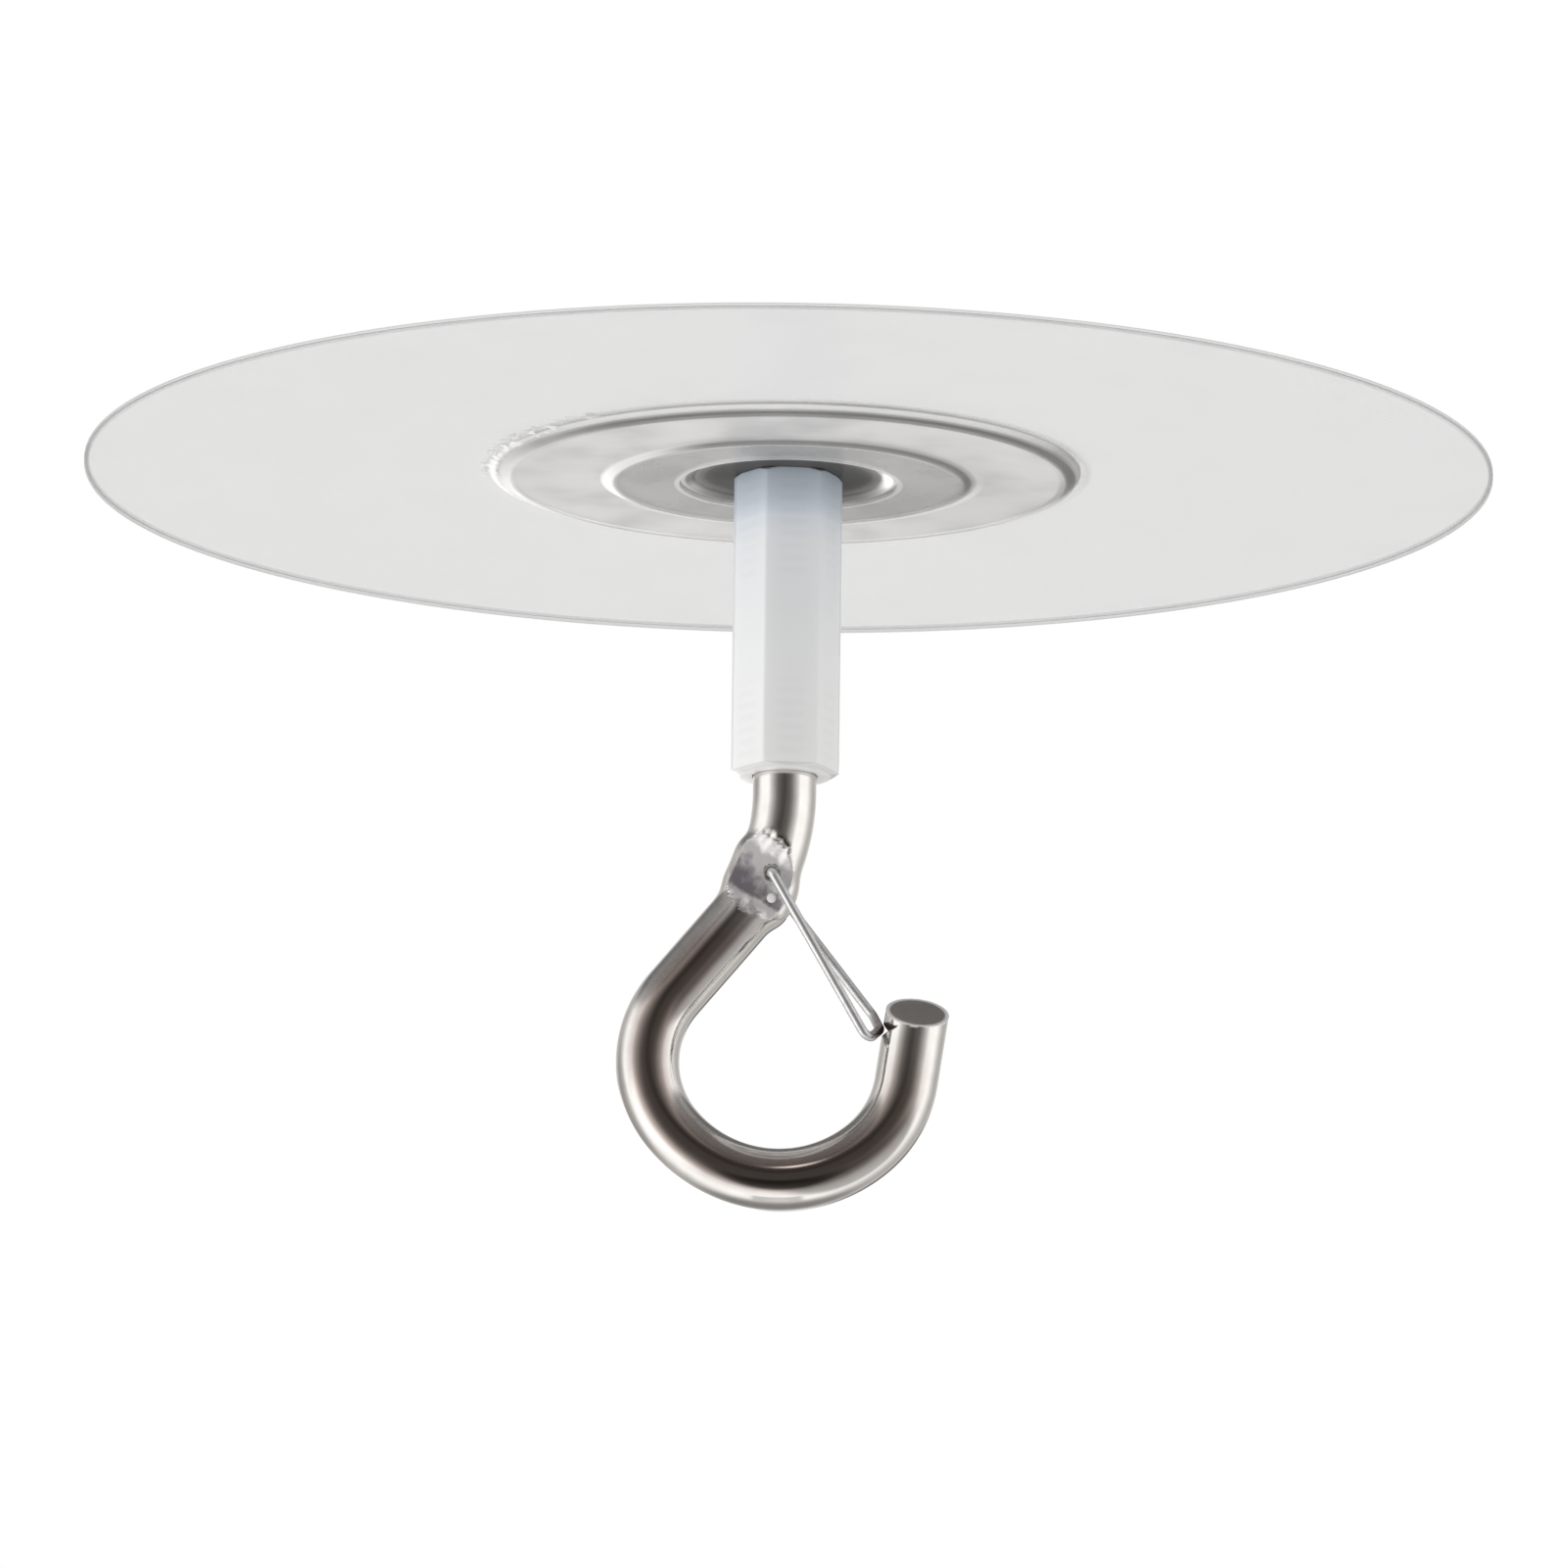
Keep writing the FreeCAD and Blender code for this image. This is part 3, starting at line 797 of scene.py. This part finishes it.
print("nylon nodes so far:", len(nylon_tree.nodes))

# %% [markdown]
# In the photograph the two outer corners and the cone at the bottom are a little darker, because
# there the light grazes past. A mask by radius and bearing finds the corners, and one by height and
# radius finds the cone.

# %% Nylon edges
HEX_DEGREES = 6.2
side_corners = math_node(nylon_tree, "ADD", facing(nylon_tree, HEX_DEGREES, 0.985, 0.995),
                         facing(nylon_tree, HEX_DEGREES + 180, 0.985, 0.995))
outer_corners = math_node(nylon_tree, "MULTIPLY", side_corners,
                          between(nylon_tree, out_from_axis(nylon_tree), 2.97, 3.03))
end_cone = math_node(nylon_tree, "MULTIPLY", between(nylon_tree, height, -17.76, -17.86),
                     between(nylon_tree, out_from_axis(nylon_tree), 2.58, 2.66))
edges = math_node(nylon_tree, "MAXIMUM", outer_corners, end_cone)
rim_tone = toned(nylon_tree, edges, [(0.0, 1.0), (1.0, 0.82)])
nylon_colour = mixed(nylon_tree, nylon_tone, thread_lines, 1.0, "MULTIPLY")
nylon_colour = mixed(nylon_tree, nylon_colour, rim_tone, 1.0, "MULTIPLY")
joined(nylon_tree, nylon_colour, nylon.inputs["Base Color"])
bump(nylon_tree, nylon, grain(nylon_tree, 0.8), 0.1, 0.02)
print("nylon nodes:", len(nylon_tree.nodes))

# %% [markdown]
# The coupler's ends are turned to a cone, which nips the six corners, and a plain bore runs right
# through. It could be cut from a prism with cones and cylinders, but soft corners would then need
# bevels. Instead each height has a rule for its outline, as a radius for every bearing, so hexagon,
# cone and bore are one closed grid. The points stand closer together round the corners.

# %% Hexagon
COUPLER_TOP, COUPLER_BOTTOM = -0.66, -18.1
FLAT, SOFT_CORNER = 2.7, 0.22
HALF_SIDE = math.pi / 6
HEX_TURN = math.radians(HEX_DEGREES)
BORE, MOUTH, RIM = 1.85, 2.35, 2.57
CONE_SLOPE = math.tan(math.radians(30))
CORNER_SPAN = HALF_SIDE - math.atan((FLAT - SOFT_CORNER) * math.tan(HALF_SIDE) / FLAT)


def hexagon(angle):
    """Distance from the axis to the hexagon's wall, with its corners a little rounded."""
    from_flat = abs((angle - HEX_TURN) % (2 * HALF_SIDE) - HALF_SIDE)
    plain = FLAT / math.cos(from_flat)
    off_corner = HALF_SIDE - from_flat
    if off_corner > CORNER_SPAN:
        return plain
    corner_at = (FLAT - SOFT_CORNER) / math.cos(HALF_SIDE)
    side = corner_at * math.sin(off_corner)
    return min(plain, corner_at * math.cos(off_corner) + math.sqrt(max(0.0, SOFT_CORNER ** 2 - side ** 2)))


print("across corners, mm:", round(2 * hexagon(HEX_TURN), 3))

# %% [markdown]
# The outlines are listed once round the coupler's wall: out along the bottom, up the outside, in along
# the top and down the bore, where the last one meets the first.


# %% Coupler
def nipped(limit):
    """Outline of the hexagon where a cone cuts it down to a radius."""
    return lambda angle: min(hexagon(angle), limit)


def round_at(radius):
    """Outline of a bore."""
    return lambda angle: radius


rings = []
for limit in (BORE + 0.04, RIM, RIM + 0.05, 2.7, 2.76, 2.84, 2.92, 3.0, 3.06):
    rings.append((nipped(limit), COUPLER_BOTTOM + max(0.0, (limit - RIM) * CONE_SLOPE - 0.015)))
for share in np.linspace(0.05, 0.97, 12):
    rings.append((hexagon, COUPLER_BOTTOM + (COUPLER_TOP - COUPLER_BOTTOM) * share))
for down, limit in ((0.16, 3.08), (0.08, 2.96), (0.02, 2.86), (0.0, 2.8)):
    rings.append((nipped(limit), COUPLER_TOP - down))
for radius, z in ((MOUTH, COUPLER_TOP), (BORE, COUPLER_TOP - 0.5), (BORE, COUPLER_BOTTOM + 0.04)):
    rings.append((round_at(radius), z))

near_corner = [CORNER_SPAN * t for t in (-1, -0.67, -0.33, 0, 0.33, 0.67, 1)]
across_flat = list(np.linspace(CORNER_SPAN, 2 * HALF_SIDE - CORNER_SPAN, 34)[1:-1])
bearings = [HEX_TURN + side * 2 * HALF_SIDE + a for side in range(6) for a in near_corner + across_flat]
points = [(r(a) * math.cos(a), r(a) * math.sin(a), z) for a in bearings for r, z in rings]
coupler_mesh = mesh_from("coupler_nylon", points, grid_faces(len(bearings), len(rings)))
coupler = dressed("coupler_nylon", coupler_mesh, white_nylon, 20)
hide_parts("coupler")
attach(coupler, "base")
print("coupler length, mm:", round(COUPLER_TOP - COUPLER_BOTTOM, 2))

# %% [markdown]
# ## Hook
#
# The hook is one rod that is bent, pressed flat at the neck for the gate, and sawn off at the nose. It
# is made in that order here too. First comes the line of its middle: straight runs and arcs, each
# given by a length or a radius and how far it turns, as a bending machine is set. Such a line never
# kinks, and the gate is placed from it later.


# %% Line of the rod
def leaning(degrees):
    """Direction in the hook's plane that leans so far from straight down, towards -X."""
    return np.array((-math.sin(math.radians(degrees)), 0.0, -math.cos(math.radians(degrees))))


def bent_line(start, runs, step=0.12):
    """Points along straight runs and bends, given as length or radius, and turn in degrees."""
    place, lean, line = np.array(start, float), 0.0, [np.array(start, float)]
    for size, turn in runs:
        length = size if turn == 0 else size * math.radians(abs(turn))
        count = max(2, int(round(length / step)))
        chord = length / count
        if turn:
            chord = 2 * size * math.sin(math.radians(abs(turn)) / count / 2)
        for k in range(count):
            place = place + leaning(lean + turn * (k + 0.5) / count) * chord
            line.append(place)
        lean += turn
    return line, lean


ROD_RADIUS = 1.8
HOOK_START, STRAIGHT_END = -17.7, -19.05
NECK_RADIUS, HEEL_RADIUS, BOWL_RADIUS, LIP_RADIUS = 12.0, 6.2, 7.8, 6.35
SPINE_LENGTH, NOSE_LENGTH = 5.3, 4.1
SPINE_LEAN, HEEL_TURN, BOWL_TURN, NOSE_LEAN = 39.7, 78.5, 91.7, 8.3
LIP_TURN = SPINE_LEAN + 180 - NOSE_LEAN - HEEL_TURN - BOWL_TURN
hook_line, nose_heading = bent_line((0, 0, HOOK_START), [
    (HOOK_START - STRAIGHT_END, 0), (NECK_RADIUS, SPINE_LEAN), (SPINE_LENGTH, 0), (HEEL_RADIUS, -HEEL_TURN),
    (BOWL_RADIUS, -BOWL_TURN), (LIP_RADIUS, -LIP_TURN), (NOSE_LENGTH, 0)])
nose_end = hook_line[-1]
nose_way = leaning(nose_heading)
print("nose at, mm:", np.round(nose_end, 3), "points on the line:", len(hook_line))

# %% [markdown]
# ### Polished steel
#
# The rod is polished after bending, so most of it is a mirror with a faint cloudiness. Four small
# places differ: the pressed flat, the sawn end, the notch, and the two domes of the wire's ends. Which
# points belong to them is only known once they are cut, so each place is painted on the mesh then,
# under a name, and the material reads the names here.

# %% Marks and wear
polished_steel, polished_tree, polished = finish(
    "polished_steel", Base_Color=(0.74, 0.72, 0.70, 1), Specular_IOR_Level=0.0)
on_rod = place_on(polished_tree)


def mark(name):
    """Mask that is painted on the mesh's points under a name."""
    node = polished_tree.nodes.new("ShaderNodeAttribute")
    node.attribute_name = name
    return node.outputs["Fac"]


pressed, sawn, notched, beaded = [mark(name) for name in ("pressed", "sawn", "notched", "beaded")]
wear_tone = toned(polished_tree, grain(polished_tree, 0.9, 4.0), [
    (0.3, (0.71, 0.69, 0.67)), (0.7, (0.77, 0.75, 0.73))])
print("polished steel nodes so far:", len(polished_tree.nodes))

# %% [markdown]
# The press leaves the flat hammered and patchy. Its light and shade are painted: a painted highlight
# towards the upper right, painted shade in its hollows, and a painted pale highlight on the burr along
# its lower end. Noise makes the hollows, and two slanted distances across the flat place the lit side
# and the burr.

# %% Painted light and shade on the flat
hammered = grain(polished_tree, 0.55)
slope = vector_node(polished_tree, "DOT_PRODUCT", on_rod, (0.75, 0, 0.66))
foot = vector_node(polished_tree, "DOT_PRODUCT", on_rod, (-0.55, 0, -0.835))
# Painted highlights on the burr and the upper side, and painted shade in the hollows.
burr_highlight = math_node(polished_tree, "MULTIPLY", between(polished_tree, foot, 21.9, 22.3), 0.55)
upper_highlight = math_node(polished_tree, "SUBTRACT", between(polished_tree, slope, -18.6, -15.6, "LINEAR"), 0.38)
hollow_shade = math_node(polished_tree, "MULTIPLY", hammered, 0.75)
lit_side = math_node(polished_tree, "ADD", hollow_shade, burr_highlight, upper_highlight)
pressed_light_and_shade = toned(polished_tree, lit_side, [
    (0.30, (0.28, 0.26, 0.29)), (0.5, (0.56, 0.54, 0.56)), (0.66, (0.92, 0.91, 0.91))])
print("polished steel nodes so far:", len(polished_tree.nodes))

# %% [markdown]
# The sawn end of the nose is rougher, and is drawn darker and brownish, with a painted highlight
# round its rim. The rim is found by the distance from the nose's middle line. In the photograph the
# dark line down the front of the rod, the reflection of the dark room, is strongest on the spine and
# in the bowl. The studio alone draws it the same all along, so it is deepened there as a painted
# reflection, on the front of the rod only.

# %% Sawn end, rim highlight and dark reflection
from_nose = vector_node(polished_tree, "SUBTRACT", on_rod, nose_end * MM)
out_from_nose = vector_node(polished_tree, "LENGTH",
                            vector_node(polished_tree, "CROSS_PRODUCT", from_nose, nose_way))
# A painted highlight round the rim of the sawn end.
cap_rim_highlight = math_node(polished_tree, "MULTIPLY", sawn, between(polished_tree, out_from_nose, 1.48, 1.7), 0.9)
darkened_cap = math_node(polished_tree, "SUBTRACT", math_node(polished_tree, "MULTIPLY", sawn, 0.65), cap_rim_highlight)

x, y, z = axes_of(polished_tree)
in_front = between(polished_tree, y, -1.2, -1.7)
in_bowl = between(polished_tree, z, -31.0, -39.0)
on_spine = math_node(polished_tree, "MULTIPLY", between(polished_tree, z, -25.2, -28.5),
                     between(polished_tree, x, 3.0, 0.0))
# Painted reflection: the dark line on the front of the rod, deepened on the spine and in the bowl.
painted_dark_reflection = math_node(polished_tree, "MULTIPLY", in_front,
                      math_node(polished_tree, "MAXIMUM", in_bowl, on_spine))
darker_cap_and_reflection = toned(polished_tree, math_node(polished_tree, "MAXIMUM", darkened_cap, painted_dark_reflection), [
    (0.0, 1.0), (1.0, (0.57, 0.50, 0.48))])
print("polished steel nodes so far:", len(polished_tree.nodes))

# %% [markdown]
# Last, the places are laid over one another. Rim and domes get painted highlights, drawn as pale paint
# with no mirror in them, and the notch gets painted shade, as dark paint, because each is too small to
# find a card to reflect.

# %% Polished steel
# Pale paint for the painted highlights, dark paint for the painted shade in the notch.
PALE, NOTCH_SHADE = (0.95, 0.95, 0.95, 1), (0.10, 0.07, 0.065, 1)
pale = math_node(polished_tree, "MAXIMUM", beaded, cap_rim_highlight)
steel_colour = mixed(polished_tree, wear_tone, pressed_light_and_shade, pressed)
steel_colour = mixed(polished_tree, steel_colour, PALE, pale)
steel_colour = mixed(polished_tree, steel_colour, NOTCH_SHADE, notched)
steel_colour = mixed(polished_tree, steel_colour, darker_cap_and_reflection, 1.0, "MULTIPLY")
not_mirrored = math_node(polished_tree, "ADD", math_node(polished_tree, "MULTIPLY", pressed, 0.45),
                       pale, notched)
rough = math_node(polished_tree, "ADD", 0.12, math_node(polished_tree, "MULTIPLY", pressed, 0.32),
                  math_node(polished_tree, "MULTIPLY", sawn, 0.2))
joined(polished_tree,
       steel_colour, polished.inputs["Base Color"],
       math_node(polished_tree, "SUBTRACT", 1.0, not_mirrored), polished.inputs["Metallic"],
       rough, polished.inputs["Roughness"])
bump(polished_tree, polished, math_node(polished_tree, "MULTIPLY", hammered, pressed), 0.5, 0.10)
print("polished steel nodes:", len(polished_tree.nodes))

# %% [markdown]
# ### Bend the rod
#
# A node tree lays a ring along the line, with its ends closed. The line first gets a spare length
# past the nose, which the saw takes off. A bevelled curve object would give the same tube, but the
# tree can be used again for the wire of the gate, with another radius.


# %% Bent rod
def rod_tree(name, material):
    """Tree that lays a round rod along a line of points."""
    tree, given, result = tree_with(name, Radius=ROD_RADIUS * MM, Sides=64)
    as_curve = tree.nodes.new("GeometryNodeMeshToCurve")
    ring = tree.nodes.new("GeometryNodeCurvePrimitiveCircle")
    rod = tree.nodes.new("GeometryNodeCurveToMesh")
    rod.inputs["Fill Caps"].default_value = True
    joined(tree, given.outputs["Geometry"], as_curve.inputs[0],
           given.outputs["Radius"], ring.inputs["Radius"],
           given.outputs["Sides"], ring.inputs["Resolution"],
           as_curve.outputs[0], rod.inputs["Curve"], ring.outputs[0], rod.inputs["Profile Curve"])
    close_tree(tree, rod.outputs[0], material, result)
    return tree


SPARE_STEPS, STEP = 15, 0.12
hook_line += [nose_end + nose_way * STEP * k for k in range(1, SPARE_STEPS + 1)]
hook_mesh = made_by(rod_tree("bent_rod", polished_steel), hook_line, Radius=ROD_RADIUS * MM, Sides=72)
print("bent rod faces:", len(hook_mesh.polygons))

# %% [markdown]
# ### Press the neck
#
# A press flattens the neck from both sides, to make room for the gate's legs. Cutting it flat would
# be quicker but would take metal away, while a press moves it. So the points are pushed: what stands
# past the two press faces goes back to them, and the rod swells sideways into a lobe. Small waves
# along the border make it ragged, as in the photograph.

# %% Where the press comes down
PRESS_AT, PRESS_LEAN = 26.5, 38.0
PRESS_HALF, PRESS_LENGTH, LOBE_RADIUS = 1.15, 2.8, 2.2
neck_centre = np.array((-NECK_RADIUS, 0.0, STRAIGHT_END))
neck_out = leaning(PRESS_AT)
press_centre = neck_centre + np.array((-neck_out[2], 0.0, neck_out[0])) * NECK_RADIUS
along = leaning(PRESS_LEAN)
aside = np.array((along[2], 0.0, -along[0]))
print("press centre, mm:", np.round(press_centre, 3))

# %% [markdown]
# Each point is measured from the middle of the press: along the rod, to its side, and how deep it
# stands towards the viewer. The flanks beyond the flat are allowed to rise, gently above and steeply
# below, so that the flat runs out into the round rod. What is on the flat is painted as pressed.


# %% Press
def spots_of(mesh):
    """Places of a mesh's points, in millimetres."""
    spots = np.empty(len(mesh.vertices) * 3)
    mesh.vertices.foreach_get("co", spots)
    return spots.reshape(-1, 3) / MM


def paint(mesh, name, values):
    """Keeps one number for each point of a mesh under a name."""
    layer = mesh.attributes.get(name) or mesh.attributes.new(name, "FLOAT", "POINT")
    layer.data.foreach_set("value", np.array(values, float))


UPPER_FLANK, LOWER_FLANK = math.tan(math.radians(27)), 1.0
LOBE_REACH = 1.55
spots = spots_of(hook_mesh)
run = (spots - press_centre) @ along
side = (spots - press_centre) @ aside
deep = spots[:, 1]
ragged = 0.10 * np.sin(side * 5.1 + 0.6) + 0.07 * np.sin(side * 11.7 + deep * 3.0)
past_end = np.maximum(0.0, np.abs(run + ragged) - PRESS_LENGTH / 2)
allowed = PRESS_HALF + past_end * np.where(run < 0, UPPER_FLANK, LOWER_FLANK)
here = (np.abs(run) < 4.0) & (np.abs(side) < 3.0)
pushed = here & (np.abs(deep) > allowed)
swell = np.where(here, np.exp(-(run / LOBE_REACH) ** 4), 0.0)
new_side = side * (1 + (LOBE_RADIUS / ROD_RADIUS - 1) * swell)
dent = 0.035 * np.sin(run * 4.3 + 1.0) * np.sin(side * 3.7 + 0.5)
new_deep = np.where(pushed, np.sign(deep) * (allowed + dent * swell), deep)
on_flat = here & (np.abs(deep) > allowed - 0.05) & (np.abs(run) < PRESS_LENGTH / 2 + 0.8)
spots += aside * (new_side - side)[:, None]
spots[:, 1] = new_deep
hook_mesh.vertices.foreach_set("co", (spots * MM).ravel())
paint(hook_mesh, "pressed", np.where(on_flat, 1.0, 0.0))
print("points pressed:", int(pushed.sum()))

# %% [markdown]
# ### Saw the nose
#
# The nose is sawn at a slant, which turns its oval face to the viewer. A plane cuts the mesh, what is
# past it goes, and the open rim is filled. Only the faces near the nose are given to the cut, because
# the plane, if it went on, would meet the shank too.

# %% Saw
SAW_SLANT = math.radians(33.5)
NOSE_REACH = 4.5
saw_normal = nose_way * math.cos(SAW_SLANT) + np.array((0, -1.0, 0)) * math.sin(SAW_SLANT)
sawing = bmesh.new()
sawing.from_mesh(hook_mesh)
near_nose = [v for v in sawing.verts if (Vector(nose_end * MM) - v.co).length < NOSE_REACH * MM]
chosen = set(near_nose)
part_of_nose = [f for f in sawing.faces if all(v in chosen for v in f.verts)]
geometry = list(near_nose) + list({e for f in part_of_nose for e in f.edges}) + part_of_nose
bmesh.ops.bisect_plane(sawing, geom=geometry, dist=1e-7, plane_co=Vector(nose_end * MM),
                       plane_no=Vector(saw_normal), clear_outer=True)
rim = [e for e in sawing.edges if e.is_boundary]
bmesh.ops.holes_fill(sawing, edges=rim, sides=0)
sawing.to_mesh(hook_mesh)
sawing.free()
print("sawn rim edges:", len(rim))

# %% [markdown]
# ### Drill and file
#
# A hole goes through the flat, wider at both ends, for the two ends of the gate's wire. A notch is
# filed across the nose, where the gate's tip rests. Both are shapes that are taken out with a boolean
# cut, since they run right through and meet curved skin. The exact solver keeps the mesh closed.


# %% Hole
def cutter(name, points, faces):
    """Closed shape to take away."""
    mesh = mesh_from(name, points, faces)
    outward(mesh)
    shape = bpy.data.objects.new(name, mesh)
    scene.collection.objects.link(shape)
    return shape


HOLE_RADIUS, HOLE_MOUTH, HOLE_SIDES = 0.315, 0.52, 40
pivot = press_centre - along * 0.7 - aside * 0.2
half_profile = [(HOLE_MOUTH, 1.6), (HOLE_MOUTH, 1.15), (HOLE_RADIUS, 0.95)]
hole_rings = [(r, -y) for r, y in half_profile] + half_profile[::-1]
hole_points = []
for r, y in hole_rings:
    for k in range(HOLE_SIDES):
        a = 2 * math.pi * k / HOLE_SIDES
        hole_points.append((pivot[0] + r * math.cos(a), y, pivot[2] + r * math.sin(a)))
hole_faces = []
for first in range(0, len(hole_points) - HOLE_SIDES, HOLE_SIDES):
    for k in range(HOLE_SIDES):
        n = (k + 1) % HOLE_SIDES
        hole_faces.append((first + k, first + n, first + HOLE_SIDES + n, first + HOLE_SIDES + k))
hole_faces += [tuple(range(HOLE_SIDES)), tuple(range(len(hole_points) - HOLE_SIDES, len(hole_points)))]
hole = cutter("hole", hole_points, hole_faces)
print("hole at, mm:", np.round(pivot, 3))

# %% [markdown]
# The notch is a wedge that runs right across the nose, a little back from its end. Once it is there,
# both shapes are taken out of the rod together.


# %% Notch
def cut_from(target, shapes):
    """Takes the shapes out of a mesh and leaves a plain mesh."""
    holder = bpy.data.objects.new("holder", target)
    scene.collection.objects.link(holder)
    for shape in shapes:
        taking = holder.modifiers.new("cut", "BOOLEAN")
        taking.operation = "DIFFERENCE"
        taking.solver = "EXACT"
        taking.object = shape
    graph = bpy.context.evaluated_depsgraph_get()
    left = bpy.data.meshes.new_from_object(holder.evaluated_get(graph), preserve_all_data_layers=True,
                                           depsgraph=graph)
    for shape in shapes + [holder]:
        bpy.data.objects.remove(shape)
    return left


NOTCH_BACK, NOTCH_DEPTH, NOTCH_REACH = 1.35, 0.8, 1.6
WEDGE_SLOPE = math.tan(math.radians(27))
into_nose = np.array((nose_way[2], 0.0, -nose_way[0]))
mouth = nose_end - nose_way * NOTCH_BACK - into_nose * ROD_RADIUS
apex = mouth + into_nose * NOTCH_DEPTH
wide = apex - into_nose * NOTCH_REACH
half_wedge = nose_way * NOTCH_REACH * WEDGE_SLOPE
wedge = [apex, wide + half_wedge, wide - half_wedge]
wedge_points = [p + np.array((0, s, 0)) for s in (-2.5, 2.5) for p in wedge]
notch = cutter("notch", wedge_points, [(0, 1, 2), (3, 4, 5), (0, 1, 4, 3), (1, 2, 5, 4), (2, 0, 3, 5)])
hook_mesh = cut_from(hook_mesh, [hole, notch])
print("notch at, mm:", np.round(apex, 3), "hook faces after cuts:", len(hook_mesh.polygons))

# %% [markdown]
# Now that the cuts are made, their points can be found and painted: those past the saw's plane, and
# those on the two walls of the wedge. Both lie at the nose, to the right of the shank.

# %% Paint the saw cut and the notch
spots = spots_of(hook_mesh)
at_nose = spots[:, 0] > 4.0
past_saw = (spots - nose_end) @ saw_normal > -0.02
depth = (apex - spots) @ into_nose
off_wall = np.abs(np.abs((spots - apex) @ nose_way) - depth * WEDGE_SLOPE)
on_wedge = (depth > -0.02) & (depth < NOTCH_DEPTH + 0.02) & (off_wall < 0.03)
paint(hook_mesh, "sawn", np.where(past_saw & at_nose, 1.0, 0.0))
paint(hook_mesh, "notched", np.where(on_wedge & at_nose, 1.0, 0.0))
print("sawn points:", int((past_saw & at_nose).sum()), "notch points:", int((on_wedge & at_nose).sum()))

# %% [markdown]
# ### Put the hook together
#
# The shank above the neck carries the thread, from the same tree as the stud. Beside each hole, the
# far end of the wire shows as a bright dot, which is a low dome here with a painted highlight: a ball,
# squashed and set into the flat. Rod, shank and domes become one mesh, since they are one piece of
# metal to the eye.

# %% Hook
SHANK_TOP = -12.95
SHANK_THREAD = SHANK_TOP - HOOK_START
DOME_RADIUS, DOME_FLATNESS, DOME_DROP = 0.275, 0.29, 1.45
shank_mesh = made_by(threading, Length=SHANK_THREAD * MM, Rings=120)
shank_mesh.transform(Matrix.Translation((0, 0, (SHANK_TOP - SHANK_THREAD / 2) * MM)))
domes = []
for face in (-1, 1):
    ball = bmesh.new()
    bmesh.ops.create_uvsphere(ball, u_segments=28, v_segments=16, radius=DOME_RADIUS * MM)
    dome_place = Matrix.Translation((pivot[0] * MM, face * PRESS_HALF * MM, (pivot[2] - DOME_DROP) * MM))
    ball.transform(dome_place @ Matrix.Diagonal((1, DOME_FLATNESS, 1, 1)))
    dome = bpy.data.meshes.new("dome")
    ball.to_mesh(dome)
    ball.free()
    # Marks the dome for its painted highlight.
    paint(dome, "beaded", [1.0] * len(dome.vertices))
    domes.append(dome)

gathered = bmesh.new()
for mesh in [hook_mesh, shank_mesh, *domes]:
    gathered.from_mesh(mesh)
whole = bpy.data.meshes.new("whole")
gathered.to_mesh(whole)
gathered.free()
hook = dressed("hook_rod", whole, polished_steel, 38)
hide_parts("hook")
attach(hook, "hook")
print("shank thread, mm:", round(SHANK_THREAD, 2))

# %% [markdown]
# ## Gate
#
# The gate is one length of spring wire. The wire is drawn and not polished, so it is rougher than the
# rod and a little cloudy. Its tip sits in the dark of the notch, where the studio is too bright for
# it, so the last part of the tip is toned down by its place along X.

# %% Spring wire
spring_wire, wire_tree, wire = finish(
    "spring_wire", Base_Color=(0.72, 0.72, 0.73, 1), Metallic=1.0, Roughness=0.42)
drawn_tone = toned(wire_tree, grain(wire_tree, 0.5), [(0.3, (0.76, 0.76, 0.77)), (0.7, (0.9, 0.9, 0.91))])
tip_tone = toned(wire_tree, between(wire_tree, axes_of(wire_tree)[0], 4.95, 5.35), [
    (0.0, 1.0), (1.0, (0.60, 0.56, 0.54))])
joined(wire_tree, mixed(wire_tree, drawn_tone, tip_tone, 1.0, "MULTIPLY"), wire.inputs["Base Color"])
print("spring wire nodes:", len(wire_tree.nodes))

# %% [markdown]
# Its path is a list of corners: a short end in the hole, a leg, a narrow crowned tip that rests in
# the notch, the other leg, and the other end. All of them are placed from the hook's own points, so
# the gate still fits if the hook is bent another way. The corners are rounded, and the rod's tree
# lays the wire.

# %% Gate
WIRE = 0.275
LEG_CLEARANCE, TIP_GAP, TIP_SUNK = 0.16, 0.04, 0.13
TIP_DEPTH, TIP_LENGTH, TIP_SPREAD, END_REACH = 0.55, 1.95, 1.15, 0.25
LEG_OFFSET = PRESS_HALF + LEG_CLEARANCE + WIRE
crown = mouth + nose_way * TIP_GAP + into_nose * (TIP_SUNK - WIRE)
tip_middle = crown - into_nose * TIP_DEPTH
half_tip = np.array((0, TIP_SPREAD, 0)) + nose_way * (TIP_LENGTH / 2)
across = np.array((0, 1.0, 0))
wire_corners = [pivot - across * END_REACH, pivot - across * LEG_OFFSET, tip_middle - half_tip, crown,
                tip_middle + half_tip, pivot + across * LEG_OFFSET, pivot + across * END_REACH]
wire_line = rounded(wire_corners, [0.32, 0.5, 0.5, 0.5, 0.32])
gate_mesh = made_by(rod_tree("spring_wire", spring_wire), wire_line, Radius=WIRE * MM, Sides=32)
gate = dressed("gate_wire", gate_mesh, spring_wire, 50)
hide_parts("gate")
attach(gate, "gate")
print("gate's crown at, mm:", np.round(crown, 3))
